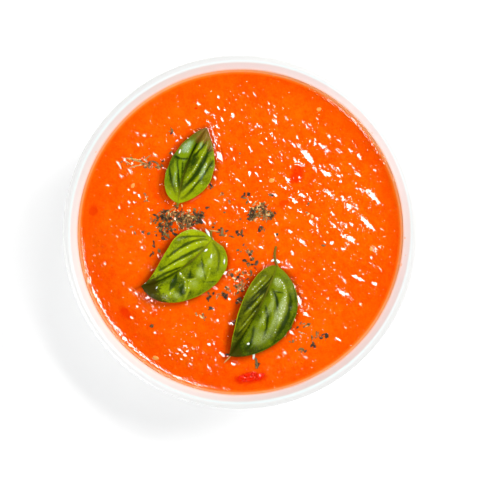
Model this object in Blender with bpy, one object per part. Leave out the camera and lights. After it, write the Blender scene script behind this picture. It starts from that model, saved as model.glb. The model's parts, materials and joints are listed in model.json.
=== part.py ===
"""A white porcelain bowl of tomato soup with three basil leaves lying on it.

Frame: metres, +Z up, origin on the bowl's axis at the plane that its foot stands on.
"""

import math
from typing import NamedTuple

import bmesh
import bpy
from mathutils import Vector

# Bowl
RIM_RADIUS = 0.075
BOWL_HEIGHT = 0.062
WALL_AT_RIM = 0.0034
WALL_AT_FLOOR = 0.0048
SLOPE_AT_RIM = math.radians(71.5)  # of the inside, from level
FOOT_RADIUS = 0.037
FOOT_WIDTH = 0.0042
FOOT_EDGE = 0.0008  # rounding of the foot's two lower edges
FOOT_BLEND = 0.0009  # drop from the wall's last ring to the foot's side
RECESS_HEIGHT = 0.0030  # the underside inside the foot ring
ROUND_STEPS = 64
SLOPE_STEPS = 13
LIP_STEPS = 8
EDGE_STEPS = 3

# Soup
SOUP_BELOW_RIM = 0.0095
MENISCUS_HEIGHT = 0.0010
MENISCUS_REACH = 0.0012
MENISCUS_WIDTH = 0.0048
MENISCUS_STEPS = 4
GAP = 0.0003  # between pieces that touch

# Leaves
LEAF_THICKNESS = 0.0006
LEAF_ROWS = 18
LEAF_COLUMNS = 8
STALK_ROWS = 3
STALK_HALF_WIDTH = 0.0006
TIP_HALF_WIDTH = 0.0003

SOUP_LEVEL = BOWL_HEIGHT - SOUP_BELOW_RIM
LEAF_LEVEL = SOUP_LEVEL + GAP + LEAF_THICKNESS  # lowest place of a leaf's upper side


class Half(NamedTuple):
    """One side of a leaf's midrib.

    Its outline is width * u^base * (1 - u)^tip, scaled to reach width where it is
    widest, so a small exponent gives that end a blunt shape.
    """

    width: float
    base: float
    tip: float
    middle: float  # height half way across, above LEAF_LEVEL
    edge: float  # height at the edge, above LEAF_LEVEL
    lobe: float = 0.0  # how far its base sweeps back


class Leaf(NamedTuple):
    """In plan it runs from base to tip, and stalk leads back from the base."""

    base: tuple
    tip: tuple
    stalk: tuple
    midrib_bow: float  # sideways at mid length, positive to the right
    midrib: float  # height above LEAF_LEVEL
    left: Half
    right: Half


LEAVES = {
    "leaf_1": Leaf(
        base=(-0.0267, 0.0124),
        tip=(-0.0143, 0.0446),
        stalk=(-0.0008, -0.0018),
        midrib_bow=-0.0023,
        midrib=0.0008,
        left=Half(0.0097, base=0.45, tip=0.74, middle=0.0026, edge=0.0004),
        right=Half(0.0096, base=0.85, tip=1.05, middle=0.0028, edge=0.0010),
    ),
    "leaf_2": Leaf(
        base=(-0.0122, -0.0028),
        tip=(-0.0424, -0.0233),
        stalk=(-0.0002, 0.0034),
        midrib_bow=-0.0033,
        midrib=0.0008,
        left=Half(0.0173, base=0.26, tip=0.41, middle=0.0030, edge=0.0003, lobe=0.0022),
        right=Half(0.0094, base=0.66, tip=1.90, middle=0.0028, edge=0.0036),
    ),
    "leaf_3": Leaf(
        base=(0.0157, -0.0145),
        tip=(-0.0046, -0.0528),
        stalk=(-0.0004, 0.0085),
        midrib_bow=-0.0015,
        midrib=0.0006,
        left=Half(0.0175, base=0.56, tip=0.71, middle=0.0031, edge=0.0003),
        right=Half(0.0064, base=0.55, tip=1.10, middle=0.0022, edge=0.0038),
    ),
}


def clear_scene():
    for found in list(bpy.data.objects):
        bpy.data.objects.remove(found)


def finish_material(name, colour, roughness, metallic=0.0):
    material = bpy.data.materials.new(name)
    material.use_nodes = True
    shader = material.node_tree.nodes["Principled BSDF"]
    shader.inputs["Base Color"].default_value = (*colour, 1.0)
    shader.inputs["Roughness"].default_value = roughness
    shader.inputs["Metallic"].default_value = metallic
    return material


def link_mesh(name, mesh, material, parent):
    made = bpy.data.objects.new(name, mesh)
    made.data.materials.append(material)
    bpy.context.scene.collection.objects.link(made)
    made.parent = parent
    return made


def on_circle(centre, radius, angle):
    return (centre[0] + radius * math.cos(angle), centre[1] + radius * math.sin(angle))


def inside_curve():
    """The bowl's inside, floor to rim, as (radius, height, slope angle).

    Height rises as a power of the radius, and each step turns by the same angle.
    The last point is where the half-round lip begins.
    """
    half_wall = WALL_AT_RIM / 2
    floor = RECESS_HEIGHT + WALL_AT_FLOOR
    last_radius = RIM_RADIUS - half_wall * (1 + math.sin(SLOPE_AT_RIM))
    rise = BOWL_HEIGHT - half_wall * (1 - math.cos(SLOPE_AT_RIM)) - floor
    power = math.tan(SLOPE_AT_RIM) * last_radius / rise
    points = []
    for step in range(SLOPE_STEPS + 1):
        slope = SLOPE_AT_RIM * step / SLOPE_STEPS
        share = (math.tan(slope) / math.tan(SLOPE_AT_RIM)) ** (1 / (power - 1))
        points.append((last_radius * share, floor + rise * share**power, slope))
    return points


def moved_outwards(place, distance):
    radius, height, slope = place
    return (radius + distance * math.sin(slope), height - distance * math.cos(slope))


def lip_arc():
    """Between the inside's last point and the outside's first, over the rim."""
    half_wall = WALL_AT_RIM / 2
    centre = (RIM_RADIUS - half_wall, BOWL_HEIGHT - half_wall)
    start = math.pi / 2 + SLOPE_AT_RIM
    return [on_circle(centre, half_wall, start - math.pi * step / LIP_STEPS) for step in range(1, LIP_STEPS)]


def outside_wall(inside):
    """The outside from the rim down towards the foot; the wall thickens on its way."""
    points = []
    for place in reversed(inside):
        share = place[2] / SLOPE_AT_RIM
        wall = WALL_AT_FLOOR + (WALL_AT_RIM - WALL_AT_FLOOR) * share
        outer = moved_outwards(place, wall)
        if outer[0] > FOOT_RADIUS + FOOT_BLEND:
            points.append(outer)
    return points


def foot_ring(wall_end):
    """From the outside wall down the foot, under it and up into the recess."""
    inner_radius = FOOT_RADIUS - FOOT_WIDTH
    outer_centre = (FOOT_RADIUS - FOOT_EDGE, FOOT_EDGE)
    inner_centre = (inner_radius + FOOT_EDGE, FOOT_EDGE)
    turns = [-math.pi / 2 * step / EDGE_STEPS for step in range(EDGE_STEPS + 1)]
    points = [(FOOT_RADIUS, wall_end[1] - FOOT_BLEND)]
    points += [on_circle(outer_centre, FOOT_EDGE, turn) for turn in turns]
    points += [on_circle(inner_centre, FOOT_EDGE, turn - math.pi / 2) for turn in turns]
    points.append((inner_radius, RECESS_HEIGHT))
    return points


def turned(name, profile, material, parent):
    """A closed solid from a (radius, height) profile, listed down its outer side."""
    mesh = bpy.data.meshes.new(name)
    points = [(radius, 0.0, height) for radius, height in profile]
    mesh.from_pydata(points, [(i, i + 1) for i in range(len(points) - 1)], [])
    made = link_mesh(name, mesh, material, parent)
    screw = made.modifiers.new("Turn", "SCREW")
    screw.steps = screw.render_steps = ROUND_STEPS
    screw.use_merge_vertices = True
    screw.merge_threshold = 0.00005
    screw.use_smooth_shade = True
    return made


def bowl(material, parent):
    inside = inside_curve()
    outside = outside_wall(inside)
    profile = [(radius, height) for radius, height, slope in inside]
    profile += lip_arc() + outside + foot_ring(outside[-1])
    profile.append((0.0, RECESS_HEIGHT))
    return turned("bowl", profile, material, parent)


def soup(material, parent):
    """The soup up to its level, with its edge drawn up the wall."""
    wall = [moved_outwards(place, -GAP) for place in inside_curve()]
    contact_height = SOUP_LEVEL + MENISCUS_HEIGHT
    below = [point for point in wall if point[1] < contact_height]
    above = wall[len(below)]
    share = (contact_height - below[-1][1]) / (above[1] - below[-1][1])
    contact_radius = below[-1][0] + share * (above[0] - below[-1][0])
    profile = [(0.0, SOUP_LEVEL)]
    for step in range(MENISCUS_STEPS, -1, -1):
        from_wall = MENISCUS_WIDTH * (step / MENISCUS_STEPS) ** 1.5
        rise = MENISCUS_HEIGHT * math.exp(-from_wall / MENISCUS_REACH)
        profile.append((contact_radius - from_wall, SOUP_LEVEL + rise))
    profile += reversed(below[1:])
    profile.append((0.0, below[0][1]))
    return turned("soup", profile, material, parent)


def half_width(half, u):
    """Of a leaf's half at u, which runs from 0 at the base to 1 at the tip."""
    widest = half.base / (half.base + half.tip)
    base_share = (u / widest) ** half.base
    tip_share = ((1 - u) / (1 - widest)) ** half.tip
    return half.width * base_share * tip_share


def leaf_height(leaf, half, u, across):
    """Above LEAF_LEVEL; across runs from 0 at the midrib to 1 at the edge."""
    arch = math.sin(math.pi * u) ** 0.7
    straight = leaf.midrib + (half.edge - leaf.midrib) * across
    swell = half.middle - (leaf.midrib + half.edge) / 2
    return arch * (straight + swell * math.sin(math.pi * across**0.8))


def leaf_point(leaf, u, v):
    """On the upper side, at u along and v across, -1 to 1. Below u = 0 is the stalk."""
    base = Vector(leaf.base)
    chord = Vector(leaf.tip) - base
    if u <= 0:
        stalk = Vector(leaf.stalk)
        heading = chord.normalized() - stalk.normalized()
        to_right = Vector((heading.y, -heading.x)).normalized()
        place = base - stalk * u + to_right * v * STALK_HALF_WIDTH
        return Vector((place.x, place.y, LEAF_LEVEL))
    to_right = Vector((chord.y, -chord.x)).normalized()
    half = leaf.right if v > 0 else leaf.left
    across = abs(v)
    narrowest = STALK_HALF_WIDTH if u < 0.5 else TIP_HALF_WIDTH
    edge = math.copysign(max(half_width(half, u), narrowest), v)
    bow = leaf.midrib_bow * 4 * u * (1 - u)
    sideways = bow * (1 - across) + edge * across
    swept_back = half.lobe * across**2 * (1 - u) ** 6
    place = base + chord * u - chord.normalized() * swept_back + to_right * sideways
    return Vector((place.x, place.y, LEAF_LEVEL + leaf_height(leaf, half, u, across)))


def leaf_rows():
    """u of each row: the stalk's from -1 to 0, then the blade's, closer at its ends."""
    stalk = [step / STALK_ROWS - 1 for step in range(STALK_ROWS + 1)]
    shares = [(step + 0.6) / (LEAF_ROWS + 0.8) for step in range(LEAF_ROWS + 1)]
    return stalk + [(1 - math.cos(math.pi * share)) / 2 for share in shares]


def basil_leaf(name, leaf, material, parent):
    grid = bmesh.new()
    places = [2 * column / LEAF_COLUMNS - 1 for column in range(LEAF_COLUMNS + 1)]
    lines = [[grid.verts.new(leaf_point(leaf, u, v)) for v in places] for u in leaf_rows()]
    for near, far in zip(lines, lines[1:]):
        for column in range(LEAF_COLUMNS):
            grid.faces.new((near[column], near[column + 1], far[column + 1], far[column]))
    mesh = bpy.data.meshes.new(name)
    grid.to_mesh(mesh)
    grid.free()
    mesh.shade_smooth()
    made = link_mesh(name, mesh, material, parent)
    thickness = made.modifiers.new("Thickness", "SOLIDIFY")
    thickness.thickness = LEAF_THICKNESS
    thickness.offset = -1.0
    return made


def main():
    clear_scene()
    dish = bpy.data.objects.new("dish", None)
    bpy.context.scene.collection.objects.link(dish)
    bowl(finish_material("porcelain", (0.86, 0.86, 0.84), 0.12), dish)
    soup(finish_material("tomato_soup", (0.93, 0.16, 0.01), 0.25), dish)
    basil = finish_material("basil", (0.14, 0.30, 0.02), 0.40)
    for name, leaf in LEAVES.items():
        basil_leaf(name, leaf, basil, dish)


main()
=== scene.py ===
"""The finish of a porcelain bowl of tomato soup with basil leaves and dried herbs.

Everything is in metres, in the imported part's own frame: +Z up, the bowl's axis at x = y = 0.
"""

import json
import math
from typing import NamedTuple

import bmesh
import bpy
import numpy as np
from mathutils import Matrix, Vector, noise
from mathutils.bvhtree import BVHTree
from mathutils.kdtree import KDTree

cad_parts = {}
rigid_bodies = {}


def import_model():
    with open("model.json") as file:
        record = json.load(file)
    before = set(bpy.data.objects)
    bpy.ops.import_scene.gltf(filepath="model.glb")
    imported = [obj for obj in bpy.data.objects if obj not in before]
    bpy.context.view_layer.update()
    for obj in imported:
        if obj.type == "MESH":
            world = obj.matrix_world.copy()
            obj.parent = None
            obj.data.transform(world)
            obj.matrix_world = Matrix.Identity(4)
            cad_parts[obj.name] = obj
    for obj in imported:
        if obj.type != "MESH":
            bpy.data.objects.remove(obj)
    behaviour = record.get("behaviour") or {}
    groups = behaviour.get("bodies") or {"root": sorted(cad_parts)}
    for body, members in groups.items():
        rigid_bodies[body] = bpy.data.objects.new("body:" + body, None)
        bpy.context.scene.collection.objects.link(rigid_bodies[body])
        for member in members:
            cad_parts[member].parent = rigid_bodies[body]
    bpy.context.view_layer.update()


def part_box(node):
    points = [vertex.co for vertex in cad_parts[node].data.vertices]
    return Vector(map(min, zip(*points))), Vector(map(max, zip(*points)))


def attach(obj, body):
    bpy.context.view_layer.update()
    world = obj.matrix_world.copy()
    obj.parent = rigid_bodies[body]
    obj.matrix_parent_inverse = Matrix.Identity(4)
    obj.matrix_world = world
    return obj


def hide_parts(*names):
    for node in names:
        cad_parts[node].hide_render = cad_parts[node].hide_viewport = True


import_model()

bl_info = {
    "name": "Bowl of Tomato Soup",
    "version": (1, 0, 0),
    "blender": (4, 5, 0),
    "location": "View3D > Sidebar > Soup",
    "description": "Finishes a porcelain bowl of tomato soup with basil leaves and dried herbs",
    "category": "Object",
}

BODY = "root"
BOWL_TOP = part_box("bowl")[1][2]
RIM_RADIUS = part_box("bowl")[1][0]
SOUP_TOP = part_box("soup")[1][2]  # where the soup's edge meets the wall
LEAF_THICKNESS = 0.0006
LEAF_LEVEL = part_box("leaf_1")[0][2] + LEAF_THICKNESS

# The bowl's section, as the solid part has it
WALL_AT_RIM = 0.0034
WALL_AT_FLOOR = 0.0048
SLOPE_AT_RIM = math.radians(71.5)
FOOT_RADIUS = 0.037
FOOT_WIDTH = 0.0042
FOOT_EDGE = 0.0008
FOOT_BLEND = 0.0009
FOOT_FILLET = FOOT_BLEND * 1.2
RECESS_HEIGHT = 0.0030
FLOOR_HEIGHT = RECESS_HEIGHT + WALL_AT_FLOOR
SOUP_LEVEL = BOWL_TOP - 0.0095

# Angles round the bowl and from the zenith are in degrees.
KEY_AZIMUTH = 43.0
KEY_FROM_ZENITH = 19.0
KEY_DISTANCE = 0.64
CAMERA_PLACE = (0.0041, -0.0076)
CAMERA_HEIGHT = 0.75


# ------------------------------------------------------------------ node trees


class Socket:
    """A node's output, with arithmetic that adds Math nodes."""

    def __init__(self, net, socket):
        self.net = net
        self.socket = socket

    def out(self, name):
        """Another output of the same node."""
        return Socket(self.net, self.socket.node.outputs[name])

    def maths(self, operation, *operands):
        return self.net.node("ShaderNodeMath", {"operation": operation}, dict(enumerate(operands)))

    def __add__(self, other):
        return self.maths("ADD", self, other)

    def __radd__(self, other):
        return self.maths("ADD", other, self)

    def __sub__(self, other):
        return self.maths("SUBTRACT", self, other)

    def __rsub__(self, other):
        return self.maths("SUBTRACT", other, self)

    def __mul__(self, other):
        return self.maths("MULTIPLY", self, other)

    def __rmul__(self, other):
        return self.maths("MULTIPLY", other, self)

    def __truediv__(self, other):
        return self.maths("DIVIDE", self, other)

    def __rtruediv__(self, other):
        return self.maths("DIVIDE", other, self)

    def __pow__(self, other):
        return self.maths("POWER", self, other)

    def __neg__(self):
        return self.maths("MULTIPLY", self, -1.0)

    def __abs__(self):
        return self.maths("ABSOLUTE", self)

    def exp(self):
        return self.maths("EXPONENT", self)


class Net:
    """A node tree being built: one method makes every node."""

    def __init__(self, tree):
        self.tree = tree

    def node(self, kind, settings=None, sockets=None, out=0):
        """Makes a node from its type, its settings and the values or links of its sockets."""
        made = self.tree.nodes.new(kind)
        for name, value in (settings or {}).items():
            setattr(made, name, value)
        for key, value in (sockets or {}).items():
            self.feed(made.inputs[key], value)
        return Socket(self, made.outputs[out]) if made.outputs else None

    def feed(self, target, value):
        """Links a socket to target, or sets it to a plain value."""
        if isinstance(value, Socket):
            self.tree.links.new(value.socket, target)
        else:
            target.default_value = value

    def smooth(self, value, low, high):
        """0 below low, 1 above high, eased between; low may be the greater."""
        sockets = {"Value": value, "From Min": low, "From Max": high}
        return self.node("ShaderNodeMapRange", {"interpolation_type": "SMOOTHSTEP"}, sockets)

    def blend(self, factor, first, second):
        """The first colour at 0, the second at 1."""
        sockets = {0: factor, 6: first, 7: second}
        return self.node("ShaderNodeMix", {"data_type": "RGBA"}, sockets, out=2)

    def noise(self, place, size, detail=2.0, roughness=0.5):
        """Soft noise between 0 and 1 with lumps of that size in metres."""
        sockets = {"Vector": place, "Scale": 1.0 / size, "Detail": detail, "Roughness": roughness}
        return self.node("ShaderNodeTexNoise", {}, sockets)

    def grains(self, place, size):
        """Distance from the middle of the nearest grain, as a share of the grains' size."""
        sockets = {"Vector": place, "Scale": 1.0 / size}
        return self.node("ShaderNodeTexVoronoi", {"feature": "F1"}, sockets)

    def chosen(self, grains, low, high):
        """Eases from 0 to 1 with each grain's own chance, to keep only some of them."""
        colour = self.node("ShaderNodeSeparateColor", {}, {"Color": grains.out("Color")})
        return self.smooth(colour, low, high)


def rgba(colour):
    return (*colour, 1.0)


class Finish(Net):
    """A material with one Principled shader."""

    def __init__(self, name):
        self.material = bpy.data.materials.new(name)
        self.material.use_nodes = True
        super().__init__(self.material.node_tree)
        self.shader = self.tree.nodes["Principled BSDF"]
        self.place = self.node("ShaderNodeTexCoord").out("Object")

    def set(self, **sockets):
        """Feeds the shader's inputs, with _ for the spaces in their names."""
        for name, value in sockets.items():
            self.feed(self.shader.inputs[name.replace("_", " ")], value)

    def attribute(self, name):
        """A number stored at each point of the mesh."""
        return self.node("ShaderNodeAttribute", {"attribute_name": name}).out("Fac")

    def bump(self, height, depth):
        """Height is 0 to 1, depth is what that stands for in metres."""
        sockets = {"Strength": 1.0, "Distance": depth, "Height": height}
        self.set(Normal=self.node("ShaderNodeBump", {}, sockets))


class Rule(Net):
    """A geometry node group: mesh and material in, a mesh out."""

    def __init__(self, name):
        super().__init__(bpy.data.node_groups.new(name, "GeometryNodeTree"))
        self.identifiers = {}
        self.add_input("Geometry", "NodeSocketGeometry")
        self.add_input("Material", "NodeSocketMaterial")
        self.tree.interface.new_socket("Geometry", in_out="OUTPUT", socket_type="NodeSocketGeometry")
        self.inputs = self.node("NodeGroupInput")

    def add_input(self, name, kind="NodeSocketFloat"):
        made = self.tree.interface.new_socket(name, in_out="INPUT", socket_type=kind)
        self.identifiers[name] = made.identifier

    def amount(self, name, kind="NodeSocketFloat"):
        """A named input of the group."""
        self.add_input(name, kind)
        return self.inputs.out(name)

    def named(self, name):
        """A number stored at each point of the mesh."""
        return self.node("GeometryNodeInputNamedAttribute", {"data_type": "FLOAT"}, {"Name": name})

    def end(self, geometry):
        """Gives the geometry its material and puts it out."""
        real = self.node("GeometryNodeRealizeInstances", {}, {"Geometry": geometry})
        sockets = {"Geometry": real, "Material": self.inputs.out("Material")}
        painted = self.node("GeometryNodeSetMaterial", {}, sockets)
        self.node("NodeGroupOutput", {}, {"Geometry": painted})

    def apply(self, piece, material, **amounts):
        """Runs the group on a piece and leaves it a plain mesh."""
        modifier = piece.modifiers.new(self.tree.name, "NODES")
        modifier.node_group = self.tree
        modifier[self.identifiers["Material"]] = material
        for name, value in amounts.items():
            modifier[self.identifiers[name.replace("_", " ")]] = value
        flatten(piece)


# ------------------------------------------------------------------ meshes


def flatten(piece):
    """Turns a piece with modifiers into a plain mesh."""
    evaluated = piece.evaluated_get(bpy.context.evaluated_depsgraph_get())
    mesh = bpy.data.meshes.new_from_object(evaluated)
    piece.modifiers.clear()
    piece.data = mesh
    mesh.name = piece.name


def new_piece(name, points, edges, faces):
    """A smooth mesh in the scene."""
    mesh = bpy.data.meshes.new(name)
    mesh.from_pydata(points, edges, faces)
    mesh.shade_smooth()
    piece = bpy.data.objects.new(name, mesh)
    bpy.context.scene.collection.objects.link(piece)
    return piece


def store(piece, name, values):
    """Stores a number at each point, for rules and materials to read."""
    attribute = piece.data.attributes.new(name, "FLOAT", "POINT")
    attribute.data.foreach_set("value", np.asarray(values, dtype=np.float32))


def hand_over(piece, slot, *nodes):
    """Puts a finished piece in the part's body, in place of the solid nodes it stands for."""
    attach(piece, BODY)
    if nodes:
        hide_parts(*nodes)


def fill_between(inner, outer, faces, up=True):
    """Triangles between two rings of point numbers, of any counts, inner within outer."""
    i = j = 0
    while i < len(inner) or j < len(outer):
        move_outer = (j + 1) * len(inner) <= (i + 1) * len(outer)
        if len(inner) == 1 and i == 0 and j == len(outer):
            break
        here, there = inner[i % len(inner)], outer[j % len(outer)]
        if move_outer and j < len(outer) or len(inner) == 1:
            third = outer[(j + 1) % len(outer)]
            j += 1
        else:
            third = inner[(i + 1) % len(inner)]
            i += 1
        faces.append((here, there, third) if up else (here, third, there))


def outwards(azimuth, from_zenith):
    """The direction at these angles in degrees, from the bowl's middle."""
    azimuth, from_zenith = math.radians(azimuth), math.radians(from_zenith)
    level = math.sin(from_zenith)
    return Vector((level * math.cos(azimuth), level * math.sin(azimuth), math.cos(from_zenith)))


def on_circle(centre, radius, angle):
    """A point on a circle in a plane; the angle is in radians."""
    return (centre[0] + radius * math.cos(angle), centre[1] + radius * math.sin(angle))


# ------------------------------------------------------------------ bowl


class Section:
    """The bowl's section: its inside rises as a power of the radius up to the lip."""

    half_wall = WALL_AT_RIM / 2
    last_radius = RIM_RADIUS - half_wall * (1 + math.sin(SLOPE_AT_RIM))
    rise = BOWL_TOP - half_wall * (1 - math.cos(SLOPE_AT_RIM)) - FLOOR_HEIGHT
    power = math.tan(SLOPE_AT_RIM) * last_radius / rise

    @classmethod
    def inside(cls, steps):
        """(radius, height, slope) from the middle of the floor to the lip."""
        points = []
        for step in range(steps + 1):
            slope = SLOPE_AT_RIM * step / steps
            share = (math.tan(slope) / math.tan(SLOPE_AT_RIM)) ** (1 / (cls.power - 1))
            points.append((cls.last_radius * share, FLOOR_HEIGHT + cls.rise * share**cls.power, slope))
        return points

    @classmethod
    def radius_at(cls, height):
        """The inside's radius at a height above the floor."""
        return cls.last_radius * ((height - FLOOR_HEIGHT) / cls.rise) ** (1 / cls.power)

    @classmethod
    def lip(cls, steps):
        """Half a circle over the rim, from the inside to the outside."""
        centre = (RIM_RADIUS - cls.half_wall, BOWL_TOP - cls.half_wall)
        start = math.pi / 2 + SLOPE_AT_RIM
        turns = [math.pi * step / steps for step in range(1, steps)]
        return [on_circle(centre, cls.half_wall, start - turn) for turn in turns]

    @classmethod
    def outside(cls, inside):
        """The inside moved out by the wall, which thickens from the rim to the floor."""
        points = []
        for radius, height, slope in reversed(inside):
            wall = WALL_AT_FLOOR + (WALL_AT_RIM - WALL_AT_FLOOR) * slope / SLOPE_AT_RIM
            outer = (radius + wall * math.sin(slope), height - wall * math.cos(slope))
            if outer[0] > FOOT_RADIUS + FOOT_BLEND:
                points.append(outer)
        return points

    @classmethod
    def foot(cls, wall_end, steps):
        """From the wall's last point over the foot ring to the middle of the recess."""
        inner_radius = FOOT_RADIUS - FOOT_WIDTH
        quarter = math.pi / 2
        hollow = (FOOT_RADIUS + FOOT_FILLET, wall_end[1] - FOOT_FILLET * 1.3)
        bends = (  # centre, radius, first angle and which way it turns
            (hollow, FOOT_FILLET, quarter, 1),
            ((FOOT_RADIUS - FOOT_EDGE, FOOT_EDGE), FOOT_EDGE, 0.0, -1),
            ((inner_radius + FOOT_EDGE, FOOT_EDGE), FOOT_EDGE, -quarter, -1),
            ((inner_radius - FOOT_EDGE, RECESS_HEIGHT - FOOT_EDGE), FOOT_EDGE, 0.0, 1),
        )
        points = []
        for centre, radius, start, way in bends:
            turns = [way * quarter * step / steps for step in range(steps + 1)]
            points += [on_circle(centre, radius, start + turn) for turn in turns]
        return points + [(0.0, RECESS_HEIGHT)]


def porcelain(settings):
    """Clear glaze over white clay, a film of soup at the soup line and a bare foot; inside, the glaze is
    tinted as painted light against the soup's orange glow.
    """
    finish = Finish("porcelain")
    parts = finish.node("ShaderNodeSeparateXYZ", {}, {"Vector": finish.place})
    height = parts.out("Z")
    radius = (parts.out("X") ** 2.0 + parts.out("Y") ** 2.0) ** 0.5
    clouds = finish.noise(finish.place, 0.018, 2.0)
    greyer = [channel * 0.975 for channel in settings.glaze]
    outer = finish.blend(clouds, rgba(settings.glaze), rgba(greyer))

    # Inside is where the radius is no greater than the section's, with the painted-light tint fading in the
    # wall: bluer and lighter at the soup to cancel its glow, darker under the rim.
    risen = (height - FLOOR_HEIGHT) / Section.rise
    inner_radius = risen.maths("MAXIMUM", risen, 0.0) ** (1 / Section.power) * Section.last_radius
    inside = finish.smooth(radius - inner_radius, 0.0010, 0.0003)
    up_wall = finish.smooth(height, SOUP_TOP, BOWL_TOP - 0.001)
    inner = finish.blend(up_wall, rgba(settings.painted_light_inner_glaze), rgba(settings.painted_light_upper_glaze))
    white = finish.blend(inside, outer, inner)

    ripple = finish.noise(finish.place, 0.009, 3.0) * 0.0012
    film_top = SOUP_TOP + settings.film_height
    film = finish.smooth(height - ripple, film_top, SOUP_TOP) * inside
    soiled = finish.blend(film**2.2 * 0.9, white, rgba(settings.film))
    smears = smear_mask(finish, parts, settings)
    soiled = finish.blend(smears * inside, soiled, rgba(settings.smear))

    bare = finish.smooth(height, 0.0007, 0.0004)
    finish.set(
        Base_Color=finish.blend(bare, soiled, rgba(settings.clay)),
        Roughness=bare * 0.45 + 0.18 + clouds * 0.05,
        Specular_IOR_Level=0.5,
    )
    finish.bump(finish.noise(finish.place, 0.004, 1.0), 0.00002)
    return finish.material


# Splashes on the inside wall: angle round the bowl in degrees, height above the soup, width and length
SMEARS = (
    (-2.0, 0.0026, 0.0006, 0.0013),
    (-11.5, 0.0018, 0.0008, 0.0016),
    (-8.0, 0.0050, 0.0004, 0.0005),
    (37.0, 0.0030, 0.0005, 0.0006),
    (151.0, 0.0036, 0.0004, 0.0006),
)


def smear_mask(finish, parts, settings):
    """Where the splashes are, as small uneven ovals."""
    wobble = finish.noise(finish.place, 0.0012, 2.0) * 0.9
    total = 0.0
    for turn, above_soup, width, length in SMEARS:
        angle = math.radians(turn)
        height = SOUP_TOP + above_soup
        radius = Section.radius_at(height)
        across = (parts.out("Y") - radius * math.sin(angle)) / width
        along = (parts.out("Z") - height) / length
        side = parts.out("X") * math.cos(angle) + parts.out("Y") * math.sin(angle)
        facing = finish.smooth(side, radius * 0.97, radius * 0.985)
        spread = (across**2.0 + along**2.0) ** 0.5 + wobble
        total = finish.smooth(spread, 1.5, 1.0) * facing + total
    return total * settings.smear_strength


MERGE_DISTANCE = 0.00001


def turned_shell(name, profile, steps):
    """A closed shell from a (radius, height) profile, listed down its outer side."""
    points = [(radius, 0.0, height) for radius, height in profile]
    shell = new_piece(name, points, [(i, i + 1) for i in range(len(points) - 1)], [])
    screw = shell.modifiers.new("Turn", "SCREW")
    screw.steps = screw.render_steps = steps
    screw.use_merge_vertices = True
    screw.merge_threshold = MERGE_DISTANCE
    screw.use_smooth_shade = True
    flatten(shell)
    return shell


def hand_thrown(shell, amount):
    """The slight waviness of a fired bowl: none at the foot, most at the rim."""
    places = np.empty(len(shell.data.vertices) * 3)
    shell.data.vertices.foreach_get("co", places)
    places = places.reshape(-1, 3)
    angle = np.arctan2(places[:, 1], places[:, 0])
    share = np.clip(places[:, 2] / BOWL_TOP, 0.0, 1.0) ** 3
    wave = np.sin(2 * angle + 0.6) + 0.5 * np.sin(3 * angle + 2.1) + 0.25 * np.sin(7 * angle)
    places[:, :2] *= (1 + share * amount * wave / RIM_RADIUS)[:, None]
    places[:, 2] += share * amount * 0.5 * np.sin(3 * angle + 0.9)
    shell.data.vertices.foreach_set("co", places.ravel())
    shell.data.update()


# ------------------------------------------------------------------ leaves


class Half(NamedTuple):
    """One side of a leaf's midrib. Heights are above where the leaf lies lowest."""

    width: float
    base: float
    tip: float
    middle: float
    edge: float
    lobe: float
    # Light and dark hold painted light: the swells are painted lighter, and the creases painted darker as
    # shade.
    light: tuple  # colour of its swells
    dark: tuple  # colour of its creases


class Fold(NamedTuple):
    """A vein or ridge through three places on a blade, each along and across it."""

    start: tuple
    middle: tuple
    end: tuple
    height: float  # below 0 for a vein that is sunk in the blade
    width: float


class PaintedLightSpot(NamedTuple):
    """A spot of painted sheen that makes a blade paler, or below 0 a spot of painted shade where it is
    darker.
    """

    place: tuple  # along and across
    reach: tuple
    strength: float


class Leaf(NamedTuple):
    """A basil leaf as it lies: places and directions in plan, colours and what lies on it."""

    base: tuple
    tip: tuple
    stalk: tuple  # from the base to its free end
    midrib_bow: float  # sideways, to the right
    midrib: float  # its height
    left: Half
    right: Half
    folds: tuple
    painted_light_spots: tuple
    sheen_colour: tuple
    young: float  # how much paler the blade is near its base
    withered: float  # how far from the tip the blade has browned, as a share
    brown: tuple
    seed: float


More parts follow.
